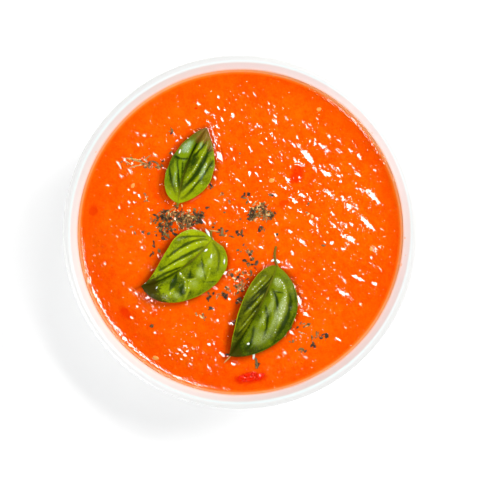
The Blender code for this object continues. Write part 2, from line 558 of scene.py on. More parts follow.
LEAVES = {
    "leaf_1": Leaf(
        base=(-0.0267, 0.0124),
        tip=(-0.0143, 0.0446),
        stalk=(-0.0008, -0.0018),
        midrib_bow=-0.0023,
        midrib=0.0008,
        left=Half(0.0097, 0.45, 0.74, 0.0026, 0.0004, 0.0, (0.200, 0.300, 0.002), (0.018, 0.042, 0.0005)),
        right=Half(0.0096, 0.85, 1.05, 0.0028, 0.0010, 0.0, (0.260, 0.345, 0.001), (0.022, 0.045, 0.0005)),
        folds=(
            Fold((0.07, 0.10), (0.19, 0.55), (0.64, 0.92), -0.0007, 0.0008),
            Fold((0.16, 0.06), (0.45, 0.45), (0.80, 0.84), -0.0008, 0.0009),
            Fold((0.29, 0.12), (0.52, 0.35), (0.80, 0.64), 0.0005, 0.0006),
            Fold((0.18, 0.27), (0.38, 0.58), (0.64, 0.72), 0.0005, 0.0008),
            Fold((0.60, 0.10), (0.74, 0.32), (0.88, 0.62), -0.0006, 0.0007),
            Fold((0.66, 0.12), (0.76, 0.22), (0.86, 0.38), 0.0004, 0.0006),
            Fold((0.18, -0.04), (0.34, -0.30), (0.50, -0.62), -0.0006, 0.0006),
            Fold((0.12, -0.10), (0.28, -0.38), (0.48, -0.76), 0.0004, 0.0005),
            Fold((0.28, -0.03), (0.40, -0.15), (0.52, -0.32), -0.0004, 0.0005),
            Fold((0.09, -0.22), (0.23, -0.60), (0.40, -0.97), -0.0006, 0.0006),
            Fold((0.57, -0.02), (0.53, -0.42), (0.53, -0.88), -0.0006, 0.0008),
            Fold((0.62, -0.20), (0.68, -0.48), (0.76, -0.66), 0.0005, 0.0014),
        ),
        painted_light_spots=(
            PaintedLightSpot((0.68, -0.52), (0.10, 0.34), 1.0),
            PaintedLightSpot((0.76, 0.24), (0.07, 0.11), 0.8),
            PaintedLightSpot((0.46, 0.64), (0.12, 0.10), 0.5),
            PaintedLightSpot((0.33, -0.44), (0.14, 0.10), 0.5),
            PaintedLightSpot((0.60, 0.16), (0.14, 0.14), -0.7),
            PaintedLightSpot((0.45, -0.85), (0.10, 0.20), -0.6),
        ),
        sheen_colour=(0.330, 0.520, 0.360),
        young=0.55,
        withered=0.16,
        brown=(0.230, 0.120, 0.012),
        seed=1.0,
    ),
    "leaf_2": Leaf(
        base=(-0.0122, -0.0028),
        tip=(-0.0424, -0.0233),
        stalk=(-0.0002, 0.0034),
        midrib_bow=-0.0033,
        midrib=0.0008,
        left=Half(0.0173, 0.26, 0.41, 0.0030, 0.0003, 0.0022, (0.262, 0.340, 0.001), (0.026, 0.050, 0.0005)),
        right=Half(0.0094, 0.66, 1.90, 0.0028, 0.0036, 0.0, (0.360, 0.450, 0.001), (0.050, 0.080, 0.0005)),
        folds=(
            Fold((0.04, 0.43), (0.15, 0.66), (0.31, 0.92), -0.0006, 0.0007),
            Fold((0.04, 0.14), (0.22, 0.52), (0.54, 0.78), -0.0008, 0.0008),
            Fold((0.09, 0.26), (0.27, 0.44), (0.52, 0.66), 0.0005, 0.0006),
            Fold((0.12, 0.02), (0.36, 0.29), (0.70, 0.66), -0.0009, 0.0009),
            Fold((0.38, 0.20), (0.52, 0.33), (0.70, 0.50), 0.0005, 0.0006),
            Fold((0.46, 0.02), (0.62, 0.20), (0.84, 0.40), -0.0006, 0.0007),
            Fold((0.02, -0.14), (0.06, -0.58), (0.17, -0.78), -0.0006, 0.0007),
            Fold((0.08, -0.20), (0.20, -0.53), (0.37, -0.80), 0.0004, 0.0005),
            Fold((0.20, -0.06), (0.29, -0.45), (0.33, -0.78), -0.0004, 0.0006),
            Fold((0.54, -0.08), (0.53, -0.24), (0.52, -0.36), 0.0011, 0.0006),
            Fold((0.52, -0.36), (0.47, -0.44), (0.42, -0.50), 0.0009, 0.0005),
            Fold((0.52, -0.36), (0.55, -0.50), (0.60, -0.70), 0.0007, 0.0006),
            Fold((0.47, -0.42), (0.55, -0.66), (0.66, -0.92), 0.0006, 0.0007),
            Fold((0.76, -0.52), (0.67, -0.30), (0.57, -0.06), -0.0008, 0.0009),
            Fold((0.47, -0.36), (0.43, -0.26), (0.40, -0.15), -0.0003, 0.0006),
            Fold((0.60, -0.50), (0.64, -0.66), (0.70, -0.80), -0.0005, 0.0008),
            Fold((0.37, -0.70), (0.30, -0.85), (0.24, -0.96), -0.0004, 0.0003),
            Fold((0.70, -0.46), (0.78, -0.62), (0.86, -0.80), 0.0006, 0.0013),
        ),
        painted_light_spots=(
            PaintedLightSpot((0.85, -0.70), (0.06, 0.22), 0.7),
            PaintedLightSpot((0.71, -0.74), (0.05, 0.16), 0.6),
            PaintedLightSpot((0.47, -0.62), (0.06, 0.18), 0.6),
            PaintedLightSpot((0.33, -0.45), (0.06, 0.16), 0.8),
            PaintedLightSpot((0.17, -0.40), (0.06, 0.10), 0.7),
            PaintedLightSpot((0.58, -0.72), (0.05, 0.10), -0.6),
            PaintedLightSpot((0.28, 0.40), (0.14, 0.16), 0.3),
            PaintedLightSpot((0.93, -0.05), (0.07, 0.55), -1.0),
            PaintedLightSpot((0.66, -0.28), (0.06, 0.12), -0.6),
            PaintedLightSpot((0.46, -0.38), (0.03, 0.08), -0.7),
        ),
        sheen_colour=(0.380, 0.480, 0.140),
        young=0.35,
        withered=0.19,
        brown=(0.045, 0.032, 0.001),
        seed=2.0,
    ),
    "leaf_3": Leaf(
        base=(0.0157, -0.0145),
        tip=(-0.0046, -0.0528),
        stalk=(-0.0004, 0.0085),
        midrib_bow=-0.0015,
        midrib=0.0006,
        left=Half(0.0175, 0.56, 0.71, 0.0031, 0.0003, 0.0, (0.172, 0.236, 0.001), (0.022, 0.042, 0.0005)),
        right=Half(0.0064, 0.55, 1.10, 0.0022, 0.0038, 0.0, (0.165, 0.195, 0.001), (0.022, 0.032, 0.0005)),
        folds=(
            Fold((0.10, 0.05), (0.22, 0.25), (0.40, 0.60), -0.0006, 0.0007),
            Fold((0.14, 0.50), (0.23, 0.64), (0.34, 0.80), 0.0006, 0.0007),
            Fold((0.12, 0.16), (0.24, 0.38), (0.38, 0.72), 0.0004, 0.0006),
            Fold((0.30, 0.10), (0.42, 0.26), (0.56, 0.56), 0.0005, 0.0006),
            Fold((0.46, 0.08), (0.60, 0.24), (0.74, 0.54), 0.0004, 0.0006),
            Fold((0.19, 0.01), (0.34, 0.28), (0.56, 0.74), -0.0005, 0.0007),
            Fold((0.33, 0.01), (0.48, 0.15), (0.68, 0.52), -0.0005, 0.0008),
            Fold((0.52, 0.01), (0.64, 0.20), (0.80, 0.60), -0.0003, 0.0007),
            Fold((0.12, -0.12), (0.23, -0.58), (0.62, -0.74), 0.0007, 0.0007),
            Fold((0.16, -0.64), (0.34, -0.78), (0.66, -0.88), -0.0005, 0.0014),
            Fold((0.22, -0.12), (0.34, -0.42), (0.54, -0.66), -0.0009, 0.0009),
            Fold((0.24, -0.07), (0.33, -0.24), (0.48, -0.46), 0.0005, 0.0006),
            Fold((0.40, -0.14), (0.54, -0.39), (0.70, -0.58), -0.0007, 0.0009),
            Fold((0.44, -0.10), (0.52, -0.24), (0.60, -0.38), 0.0005, 0.0006),
            Fold((0.24, -0.16), (0.22, -0.34), (0.20, -0.52), -0.0005, 0.0006),
            Fold((0.62, -0.10), (0.76, -0.34), (0.86, -0.50), -0.0005, 0.0009),
        ),
        painted_light_spots=(
            PaintedLightSpot((0.38, -0.56), (0.17, 0.12), 1.1),
            PaintedLightSpot((0.14, -0.24), (0.05, 0.17), 0.9),
            PaintedLightSpot((0.72, -0.48), (0.13, 0.32), 0.55),
            PaintedLightSpot((0.36, -0.26), (0.12, 0.08), 0.6),
            PaintedLightSpot((0.55, -0.24), (0.08, 0.08), 0.5),
            PaintedLightSpot((0.90, 0.10), (0.10, 0.80), -0.9),
            PaintedLightSpot((0.52, -0.98), (0.50, 0.08), -0.8),
        ),
        sheen_colour=(0.400, 0.480, 0.180),
        young=0.05,
        withered=0.10,
        brown=(0.050, 0.042, 0.001),
        seed=3.0,
    ),
}
BLADE_ROWS = 120
BLADE_COLUMNS = 72
STALK_ROWS = 12
STALK_HALF_WIDTH = 0.00065
STALK_BOW = 0.10  # sideways, as a share of the stalk's length
STALK_ROUNDING = 0.0006
STALK_SUNK = 0.0005
TIP_HALF_WIDTH = 0.0002
MIDRIB = Fold((0.0, 0.0), (0.5, 0.0), (0.985, 0.0), -0.0006, 0.0006)
FOLD_DEPTH = 1.25  # how much of a fold's height its blade takes on
FULL_FOLD = 0.0007  # a fold this high is coloured at full strength
LINE_WIDTH = 0.62  # a fold's coloured line, as a share of its width
BLADE_SHARE = 0.7  # the blade's thickness, as a share of the solid leaf's


def half_width(half, u):
    """A half's width at u along it: none at both ends, its full width where base and tip balance."""
    widest = half.base / (half.base + half.tip)
    return half.width * (u / widest) ** half.base * ((1 - u) / (1 - widest)) ** half.tip


def eased(value, low, high):
    """0 below low, 1 above high, eased between, for plain numbers."""
    share = min(1.0, max(0.0, (value - low) / (high - low)))
    return share * share * (3 - 2 * share)


def stalk_point(leaf, u, v):
    """A place on the stalk's round top, u from -1 at its free end to 0."""
    base, stalk = Vector(leaf.base), Vector(leaf.stalk)
    chord = Vector(leaf.tip) - base
    heading = chord.normalized() - stalk.normalized()
    to_right = Vector((heading.y, -heading.x)).normalized()
    bend = STALK_BOW * math.sin(-u * math.pi) * stalk.length
    place = base - stalk * u + to_right * (v * STALK_HALF_WIDTH * (1 + 0.25 * u) + bend)
    round_top = STALK_ROUNDING * math.sqrt(max(0.0, 1 - v * v))
    return Vector((place.x, place.y, LEAF_LEVEL - STALK_SUNK + round_top + 0.0003 * u))


def blade_place(leaf, u, v):
    """A place in plan, u along the blade from 0 to 1 and v across it from -1 to 1."""
    base = Vector(leaf.base)
    chord = Vector(leaf.tip) - base
    to_right = Vector((chord.y, -chord.x)).normalized()
    half = leaf.right if v > 0 else leaf.left
    across = abs(v)
    narrowest = STALK_HALF_WIDTH if u < 0.5 else TIP_HALF_WIDTH
    wave = 1 + 0.03 * noise.noise(Vector((u * 9.0, math.copysign(3.0, v), leaf.seed)))
    edge = math.copysign(max(half_width(half, u) * wave, narrowest), v)
    sideways = leaf.midrib_bow * 4 * u * (1 - u) * (1 - across) + edge * across
    swept_back = half.lobe * across**2 * (1 - u) ** 6
    return base + chord * u - chord.normalized() * swept_back + to_right * sideways


def blade_height(leaf, u, v, place):
    """The blade's height without its folds."""
    half = leaf.right if v > 0 else leaf.left
    across = abs(v)
    arch = math.sin(math.pi * u) ** 0.7
    straight = leaf.midrib + (half.edge - leaf.midrib) * across
    swelling = half.middle - (leaf.midrib + half.edge) / 2
    height = arch * (straight + swelling * math.sin(math.pi * across**0.8))
    ripple = 0.00045 * noise.noise(Vector((place.x, place.y, leaf.seed * 0.01)) * 260.0)
    ripple += 0.00012 * noise.noise(Vector((place.x, place.y, leaf.seed * 0.01)) * 900.0)
    return height + ripple * eased(across, 0.0, 0.3)


def folded(leaf, places, heights):
    """Adds the folds to the heights; returns these, and how far in a vein and on a ridge each place is."""
    vein, crest = np.zeros(len(places)), np.zeros(len(places))
    for fold in (MIDRIB, *leaf.folds):
        start, middle, end = (np.array(blade_place(leaf, *place)) for place in fold[:3])
        bend = 2 * middle - (start + end) / 2
        nearest, where = np.full(len(places), np.inf), np.zeros(len(places))
        for t in np.linspace(0.0, 1.0, 60):
            point = start * (1 - t) ** 2 + 2 * bend * t * (1 - t) + end * t * t
            distance = np.hypot(*(places - point).T)
            closer = distance < nearest
            nearest[closer], where[closer] = distance[closer], t
        fade = np.sqrt(np.sin(np.pi * np.clip(where * 0.94 + 0.03, 0.0, 1.0)))
        heights = heights + FOLD_DEPTH * fold.height * np.exp(-(nearest / fold.width)) * fade
        line = np.exp(-((nearest / (LINE_WIDTH * fold.width)) ** 1.5)) * fade
        strength = np.clip(abs(fold.height) / FULL_FOLD, 0.0, 1.0) * line
        if fold.height < 0:
            vein = np.maximum(vein, strength)
        else:
            crest = np.maximum(crest, strength)
    return heights, vein, crest


def blade_rows():
    """How far along a leaf's rows are: -1 to 0 on the stalk, then closer at the blade's ends."""
    stalk = [step / STALK_ROWS - 1 for step in range(STALK_ROWS + 1)]
    shares = [(step + 0.5) / (BLADE_ROWS + 1) for step in range(BLADE_ROWS + 1)]
    return stalk + [0.55 * share + 0.45 * (1 - math.cos(math.pi * share)) / 2 for share in shares]


class Basil(Finish):
    """Blade wet in places, with painted light: bright swells, painted shade in dark creases, painted sheen
    and glints, a pale margin that is partly a painted highlight, and fine glands.
    """

    def __init__(self, name, leaf, settings):
        super().__init__("basil_" + name)
        self.leaf = leaf
        self.settings = settings
        self.along, self.across = self.attribute("along"), self.attribute("across")
        self.vein, self.crest, self.bloom = (self.attribute(key) for key in ("vein", "crest", "bloom"))
        self.cells = self.grains(self.place, 0.00042)
        self.clouds = self.noise(self.place, 0.006, 3.0)
        self.mottle = self.clouds - 0.5
        self.spots = self.noise(self.place, 0.0007, 2.0, 0.7) - 0.5
        self.right = self.smooth(self.across, -0.04, 0.04)
        self.dark = self.blend(self.right, rgba(leaf.left.dark), rgba(leaf.right.dark))
        wet = self.smooth(self.noise(self.place, 0.0045, 2.0), 0.45, 0.60)
        self.set(
            Base_Color=self.tip_and_stalk(self.rib_and_margin(self.painted_sheen_and_glints(self.blade()))),
            Roughness=0.34 + self.clouds * 0.10,
            Specular_IOR_Level=0.05,
            Coat_Weight=self.smooth(wet * 0.6 + self.bloom * 0.6, 0.1, 0.9) * settings.wetness,
            Coat_Roughness=0.09,
            Coat_IOR=1.33,
        )
        self.bump(self.cells, 0.00005)

    def blade(self):
        """Painted light: light on the swells, painted shade dark in the veins and painted highlight on the
        pale ridges, with a paler base.
        """
        light = self.blend(self.right, rgba(self.leaf.left.light), rgba(self.leaf.right.light))
        # Painted shade deepens the veins; painted highlight and painted sheen lighten the ridges and spots.
        depth = self.vein * 1.2 - self.crest * 0.9 - self.bloom * 0.6
        depth = depth + self.mottle * 1.7 + self.spots * 0.9 + self.along * 0.25 + 0.28
        green = self.blend(self.smooth(depth, 0.0, 1.0), light, self.dark)
        green = self.blend(self.smooth(self.cells, 0.75, 0.25) * 0.12, green, self.dark)
        near_base = self.smooth(self.along + self.spots * 0.1, 0.30, 0.0)
        green = self.blend(near_base * self.leaf.young, green, rgba(self.settings.pale))
        # Painted highlight along the ridges.
        return self.blend(self.crest * 0.45, green, rgba(self.settings.crest))

    def painted_sheen_and_glints(self, green):
        """Painted sheen in the spots, and painted glints as pale specks on the ridges."""
        # Painted sheen: a pale colour where the blade would mirror the light.
        sheen_share = self.smooth(self.bloom + self.mottle * 0.8 + self.spots * 0.5, 0.20, 0.85)
        sheen_share = sheen_share * self.smooth(self.cells, 0.95, 0.45)
        green = self.blend(sheen_share * 0.8, green, rgba(self.leaf.sheen_colour))
        # Painted glints: pale specks along the ridges and spots of sheen.
        dots = self.grains(self.place, 0.0008)
        painted_glint_area = self.smooth(self.crest * 0.9 + self.bloom * 0.35 + self.mottle * 0.6, 0.15, 0.55)
        dew = self.smooth(dots, 0.42, 0.22) * self.chosen(dots, 0.42, 0.50) * painted_glint_area
        return self.blend(dew * 0.8, green, rgba(self.settings.dew))

    def rib_and_margin(self, green):
        """Darkens the far end, and draws the midrib and a thin pale margin, partly a painted highlight along
        the raised edge.
        """
        green = self.blend(self.smooth(self.along, 0.80, 1.0) * 0.6, green, self.dark)
        rib = self.smooth(abs(self.across), 0.05, 0.015) * self.smooth(self.along, 0.7, 0.2)
        green = self.blend(rib * 0.65, green, rgba(self.settings.rib))
        # The pale margin is partly its own colour and partly a painted highlight, stronger on the raised
        # right half.
        broken = self.smooth(self.clouds, 0.35, 0.65) * 0.5 + self.right * 0.4
        margin = self.smooth(abs(self.across), 0.955, 0.985) * broken
        return self.blend(margin, green, rgba(self.settings.pale))

    def tip_and_stalk(self, green):
        """Browns the ragged tip, and colours the stalk."""
        stalk = self.smooth(self.along, 0.015, -0.02)
        green = self.blend(stalk * 0.9, green, rgba(self.settings.stalk))
        limit = 1 - self.leaf.withered
        ragged = self.mottle * 0.35 + self.spots * 0.25
        brown = self.smooth(self.along + self.across * 0.04 + ragged, limit - 0.06, limit + 0.06)
        return self.blend(brown * 0.85, green, rgba(self.leaf.brown))


def painted_light_amounts(leaf, grid):
    """How much painted sheen each place on a blade has, below 0 painted shade where it is darker."""
    grid, total = np.array(grid), np.zeros(len(grid))
    for place, reach, strength in leaf.painted_light_spots:
        spread = ((grid - place) / reach) ** 2
        total += strength * np.exp(-spread.sum(axis=1))
    return np.where(grid[:, 0] > 0, total, 0.0)


def leaf_surface(leaf, grid):
    """Points, and how far in a vein and on a ridge each is, for places (u, v) on stalk and blade."""
    on_stalk = np.array([u <= 0 for u, v in grid])
    places, heights = [], []
    for u, v in grid:
        if u <= 0:
            *place, height = stalk_point(leaf, u, v)
        else:
            place = blade_place(leaf, u, v)
            height = blade_height(leaf, u, v, place)
        places.append(tuple(place))
        heights.append(height)
    plain = np.array(heights)
    heights, vein, crest = folded(leaf, np.array(places), plain)
    heights = np.maximum(heights, 0.0) + LEAF_LEVEL
    heights[on_stalk] = plain[on_stalk]
    vein[on_stalk] = crest[on_stalk] = 0.0
    return [(x, y, z) for (x, y), z in zip(places, heights)], vein, crest


def leaf_piece(name, leaf, settings):
    """A closed, folded blade with its stalk."""
    rows, wide = blade_rows(), BLADE_COLUMNS + 1
    grid = [(u, 2 * column / BLADE_COLUMNS - 1) for u in rows for column in range(wide)]
    points, vein, crest = leaf_surface(leaf, grid)
    corners = [row * wide + column for row in range(len(rows) - 1) for column in range(BLADE_COLUMNS)]
    faces = [(corner, corner + 1, corner + wide + 1, corner + wide) for corner in corners]
    piece = new_piece(name, points, [], faces)
    store(piece, "along", [u for u, v in grid])
    store(piece, "across", [v for u, v in grid])
    store(piece, "vein", vein)
    store(piece, "crest", crest)
    store(piece, "bloom", painted_light_amounts(leaf, grid))
    if sum(face.normal.z for face in piece.data.polygons) < 0:
        piece.data.flip_normals()
    thickness = piece.modifiers.new("Thickness", "SOLIDIFY")
    thickness.thickness = LEAF_THICKNESS * BLADE_SHARE
    thickness.offset = -1.0
    flatten(piece)
    piece.data.materials.append(Basil(name, leaf, settings).material)
    return piece


def outline(leaf, steps=160):
    """Points round a leaf's edge, in plan."""
    shares = [(step + 0.5) / steps for step in range(steps)]
    return [blade_place(leaf, share, side) for side in (-1, 1) for share in shares]


# ------------------------------------------------------------------ soup


SOUP_RINGS = 176
SIDE_POINTS = 240
SIDE_STEPS = 12
INTO_WALL = 0.0004  # how far the soup's top reaches into the wall, so that no gap shows
OFF_BOWL = 0.0003  # between the bowl and the soup's sides
SIDE_LIFT = 0.0002
SIDE_TOP = SOUP_LEVEL - 0.003


def soup_mesh():
    """A closed body: an even mesh of triangles on top, plain sides down to the bowl's floor."""
    reach = Section.radius_at(SOUP_TOP) + INTO_WALL
    points, faces, top = [(0.0, 0.0, SOUP_LEVEL)], [], [1.0]

    def ring(count, radius, height, on_top):
        """Adds a level ring of points and returns their numbers."""
        start = len(points)
        for step in range(count):
            angle = 2 * math.pi * step / count
            points.append((radius * math.cos(angle), radius * math.sin(angle), height))
            top.append(on_top)
        return list(range(start, start + count))

    last = [0]
    for number in range(1, SOUP_RINGS + 1):
        ring_now = ring(6 * number, reach * number / SOUP_RINGS, SOUP_LEVEL, 1.0)
        fill_between(last, ring_now, faces)
        last = ring_now
    for radius, height, slope in reversed(Section.inside(SIDE_STEPS)):
        if height < SIDE_TOP and radius > OFF_BOWL:
            ring_now = ring(SIDE_POINTS, radius - OFF_BOWL, height + SIDE_LIFT, 0.0)
            fill_between(ring_now, last, faces, up=False)
            last = ring_now
    points.append((0.0, 0.0, FLOOR_HEIGHT + OFF_BOWL))
    top.append(0.0)
    fill_between([len(points) - 1], last, faces, up=False)
    return points, faces, top


# Flat places that mirror the light: x, y, length and width in millimetres, turn in degrees
FACETS = (
    (54.5, 3.5, 9.5, 2.0, -49),
    (50.0, -19.5, 6.2, 1.8, -30),
    (44.5, -26.5, 7.8, 1.6, -35),
    (47.5, -3.0, 5.5, 1.5, -42),
    (45.0, 2.5, 4.0, 1.2, -15),
    (44.0, -7.0, 2.2, 1.6, 20),
    (58.0, -7.0, 2.2, 1.0, -60),
    (57.5, -22.0, 2.8, 1.5, -40),
    (56.0, -13.5, 2.2, 0.9, -30),
    (60.0, -16.0, 2.4, 0.9, -60),
    (46.5, 11.5, 2.4, 1.8, 50),
    (39.0, -4.5, 2.4, 1.7, -50),
    (28.5, 32.5, 7.0, 2.2, -52),
    (37.0, 25.0, 6.4, 1.8, -28),
    (32.0, 27.5, 2.6, 1.0, -60),
    (47.0, 35.0, 3.2, 1.3, -30),
    (51.0, 32.5, 3.0, 1.3, -38),
    (57.0, 15.0, 8.0, 2.1, -55),
    (57.5, 26.5, 3.2, 0.9, -45),
    (38.0, 16.5, 4.2, 1.6, -30),
    (26.5, 16.0, 2.6, 1.3, -30),
    (23.0, 13.5, 4.2, 2.0, -40),
    (44.0, 14.5, 2.6, 1.6, -40),
    (38.0, 41.0, 2.0, 1.3, 30),
    (33.0, 48.5, 2.0, 0.9, -35),
    (19.9, 22.9, 4.4, 1.6, -58),
    (26.0, -4.0, 4.4, 1.6, -30),
    (21.0, 0.5, 3.2, 1.4, -35),
    (42.0, -46.0, 3.0, 1.3, -40),
    (22.0, -43.0, 3.4, 1.5, -30),
    (22.6, -23.0, 5.0, 2.0, -66),
    (25.2, -29.5, 7.0, 1.8, -62),
    (28.2, -35.0, 4.0, 1.5, -45),
    (-9.0, 32.5, 5.0, 2.4, -62),
    (-13.0, 27.0, 1.6, 1.0, -40),
    (-39.5, -27.8, 2.2, 1.6, 30),
    (-6.5, -17.2, 2.4, 1.6, -20),
    (-53.0, -2.0, 2.0, 1.0, -45),
    (-57.0, 20.0, 1.8, 1.0, -45),
    (-44.0, 42.0, 2.6, 1.0, -50),
    (-20.0, -50.0, 2.2, 1.0, -30),
    (4.0, 36.0, 1.8, 1.0, -45),
    (13.0, 30.0, 2.2, 1.0, -45),
    (-1.5, 22.5, 3.0, 1.2, -40),
    (7.0, 25.0, 2.6, 1.2, -45),
)
SPECKS = 165  # how many smaller ones are scattered
SPECK_RADIUS = 62.0  # how far out, in millimetres
LAMP_PLACE = Vector((0.0, 0.0, SOUP_TOP)) + KEY_DISTANCE * outwards(KEY_AZIMUTH, KEY_FROM_ZENITH)
EYE_PLACE = Vector((*CAMERA_PLACE, BOWL_TOP + CAMERA_HEIGHT))
FRAYS_PER_METRE = 900.0
FACET_FRAY = 1.0
SPECK_FRAY = 0.45


def specks():
    """Tiny flat places in loose groups, most of them at -x, as the large ones are at +x."""
    chance, found = np.random.default_rng(11), []
    while len(found) < SPECKS:
        x, y = chance.uniform(-SPECK_RADIUS, SPECK_RADIUS, 2)
        grouped = 0.5 + 1.6 * noise.noise(Vector((x, y, 7.0)) / 9.0)
        share = min(1.0, max(0.2, 0.7 - (x + 6.0) / 35.0))
        if math.hypot(x, y) < SPECK_RADIUS and chance.random() < grouped * share:
            length, width = 1.5 + 1.5 * chance.random() ** 2, 1.05 + 0.3 * chance.random()
            found.append((x, y, length, width, -42.0 + 22.0 * chance.normal()))
    return found


def mirroring(middle):
    """How a flat place there rises along x and y, so that it mirrors the lamp to the camera."""
    normal = (LAMP_PLACE - middle).normalized() + (EYE_PLACE - middle).normalized()
    return (-normal.x / normal.z, -normal.y / normal.z)


def facet_shares(offset, length, width, turn, fray):
    """1 within a flat place and 0 outside it, at an offset in metres from its middle."""
    heading = np.array((math.cos(math.radians(turn)), math.sin(math.radians(turn))))
    along = offset @ heading / (length / 2000)
    across = offset @ (-heading[1], heading[0]) / (width * 1.3 / 2000)
    return np.clip((1.45 - np.hypot(along, across) + fray) / 0.4, 0.0, 1.0)


def facets(points, settings):
    """Heights that turn the flat places to mirror the lamp, and how far each point is in one."""
    wall = Section.radius_at(SOUP_TOP)
    places, heights, shares = np.array(points)[:, :2], np.zeros(len(points)), np.zeros(len(points))
    for number, (x, y, length, width, turn) in enumerate((*specks(), *FACETS)):
        middle = Vector((x / 1000, y / 1000, SOUP_LEVEL))
        offset = places - middle.xy
        near = np.flatnonzero(np.hypot(*offset.T) < length / 1000)
        offset = offset[near]
        ragged = [noise.noise(Vector((*places[i] * FRAYS_PER_METRE, number * 3.0))) for i in near]
        fray = (SPECK_FRAY if number < SPECKS else FACET_FRAY) * np.array(ragged)
        here = facet_shares(offset, length, width, turn, fray)
        level = settings.edge_rise * math.exp((middle.xy.length - wall) / settings.edge_reach)
        heights[near] = heights[near] * (1 - here) + (level + offset @ mirroring(middle)) * here
        shares[near] = np.maximum(shares[near], here)
    return heights, shares


def relief_rule():
    """Swells and pulp on the soup's top, and its edges drawn up the wall and the leaves."""
    rule = Rule("Soup Relief")
    swell_height, swell_size = rule.amount("Swell Height"), rule.amount("Swell Size")
    pulp_height, pulp_size = rule.amount("Pulp Height"), rule.amount("Pulp Size")
    patch_size = rule.amount("Patch Size")
    grain_height, grain_size = rule.amount("Grain Height"), rule.amount("Grain Size")
    edge_rise, edge_reach = rule.amount("Edge Rise"), rule.amount("Edge Reach")
    leaf_rise, leaf_reach = rule.amount("Leaf Rise"), rule.amount("Leaf Reach")
    wall_radius = rule.amount("Wall Radius")

    place = rule.node("GeometryNodeInputPosition")
    parts = rule.node("ShaderNodeSeparateXYZ", {}, {"Vector": place})
    x, y = parts.out("X"), parts.out("Y")
    from_wall = wall_radius - (x**2.0 + y**2.0) ** 0.5
    # Stirring has drawn the swells out from the upper left to the lower right.
    drawn = {"X": (x - y) * 0.55, "Y": (x + y) * 0.71, "Z": 0.0}
    stretched = rule.node("ShaderNodeCombineXYZ", {}, drawn)

    def lumps(where, size, detail):
        """Noise between -0.5 and 0.5."""
        return rule.noise(where, size, detail) - 0.5

    # The swells are calmer towards the upper left.
    stirred = rule.smooth(x * 0.9 - y * 0.5, -0.030, 0.022) * 0.32 + 0.58
    swell = lumps(stretched, swell_size, 0.0) * swell_height * stirred
    patches = rule.smooth(lumps(place, patch_size, 1.0), -0.04, 0.12)
    pulp = lumps(stretched, pulp_size, 0.0) * pulp_height * (patches * 0.75 + 0.25)
    sockets = {"Vector": place, "Scale": 1.0 / grain_size, "Smoothness": 0.6}
    cell = rule.node("ShaderNodeTexVoronoi", {"feature": "SMOOTH_F1"}, sockets)
    grain = (0.5 - cell) * grain_height
    calm = rule.smooth(from_wall, 0.0015, 0.009)
    drawn_up = (-from_wall / edge_reach).exp() * edge_rise
    clinging = rule.smooth(lumps(place, 0.011, 0.0), -0.06, 0.10)
    at_leaf = (-rule.named("from_leaf") / leaf_reach).exp() * leaf_rise * clinging
    flat = rule.named("flat")
    height = ((swell + pulp + grain) * calm + at_leaf + drawn_up) * (1.0 - flat) + rule.named("facet")
    lift = rule.node("ShaderNodeCombineXYZ", {}, {"Z": height * rule.named("top")})
    sockets = {"Geometry": rule.inputs.out("Geometry"), "Offset": lift}
    rule.end(rule.node("GeometryNodeSetPosition", {}, sockets))
    return rule


# Pieces of tomato under the surface: x, y, half length, half width, turn, how much they show
TOMATO_BITS = (
    (0.0042, -0.0624, 0.0070, 0.0024, 8, 1.0),
    (0.0242, 0.0244, 0.0042, 0.0028, 60, 0.62),
    (-0.0629, 0.0094, 0.0022, 0.0016, 80, 0.6),
    (-0.0493, -0.0346, 0.0034, 0.0018, -50, 0.6),
    (0.0183, 0.0124, 0.0024, 0.0014, 30, 0.4),
    (-0.0190, 0.0530, 0.0007, 0.0005, 0, 0.8),
)


def soup_colour(finish, settings):
    """Mottled orange, redder over sunken tomato, with the leaves' painted shadow, painted shade near the
    wall and paler at its thin edge.
    """
    parts = finish.node("ShaderNodeSeparateXYZ", {}, {"Vector": finish.place})
    broad = finish.noise(finish.place, 0.022, 2.0)
    mottle = finish.noise(finish.place, 0.0032, 4.0, 0.65)
    fine = finish.noise(finish.place, 0.0009, 2.0, 0.7)
    tone = finish.smooth(broad * 0.45 + mottle * 0.75 + fine * 0.5, 0.55, 1.15)
    colour = finish.blend(tone, rgba(settings.red), rgba(settings.orange))
    flecks = finish.grains(finish.place, 0.0026)
    pick = finish.noise(finish.place, 0.006, 1.0)
    pale = finish.smooth(flecks, 0.20, 0.06) * finish.smooth(pick, 0.55, 0.62)
    colour = finish.blend(pale * 0.55, colour, rgba(settings.oil))
    colour = finish.blend(sunken_mask(finish, parts), colour, rgba(settings.tomato))
    # Painted shadow of the leaves: the soup darkens near their edges, most towards the lower left.
    painted_leaf_shadow = (finish.attribute("from_shade") / -0.0013).exp()
    colour = finish.blend(painted_leaf_shadow * 0.75, colour, rgba(settings.painted_leaf_shadow))
    radius = (parts.out("X") ** 2.0 + parts.out("Y") ** 2.0) ** 0.5
    wall = Section.radius_at(SOUP_TOP)
    # Painted shade under the rim: the soup is redder and darker near the wall.
    painted_rim_shade = finish.smooth(radius, wall - 0.012, wall - 0.003)
    colour = finish.blend(painted_rim_shade * 0.35, colour, rgba(settings.red))
    thin = finish.smooth(radius, wall - 0.0020, wall - 0.0006)
    colour = finish.blend(thin * 0.9, colour, rgba(settings.thin))
    thinnest = finish.smooth(radius, wall - 0.0010, wall - 0.0002)
    return finish.blend(thinnest * 0.65, colour, rgba(settings.thinnest))


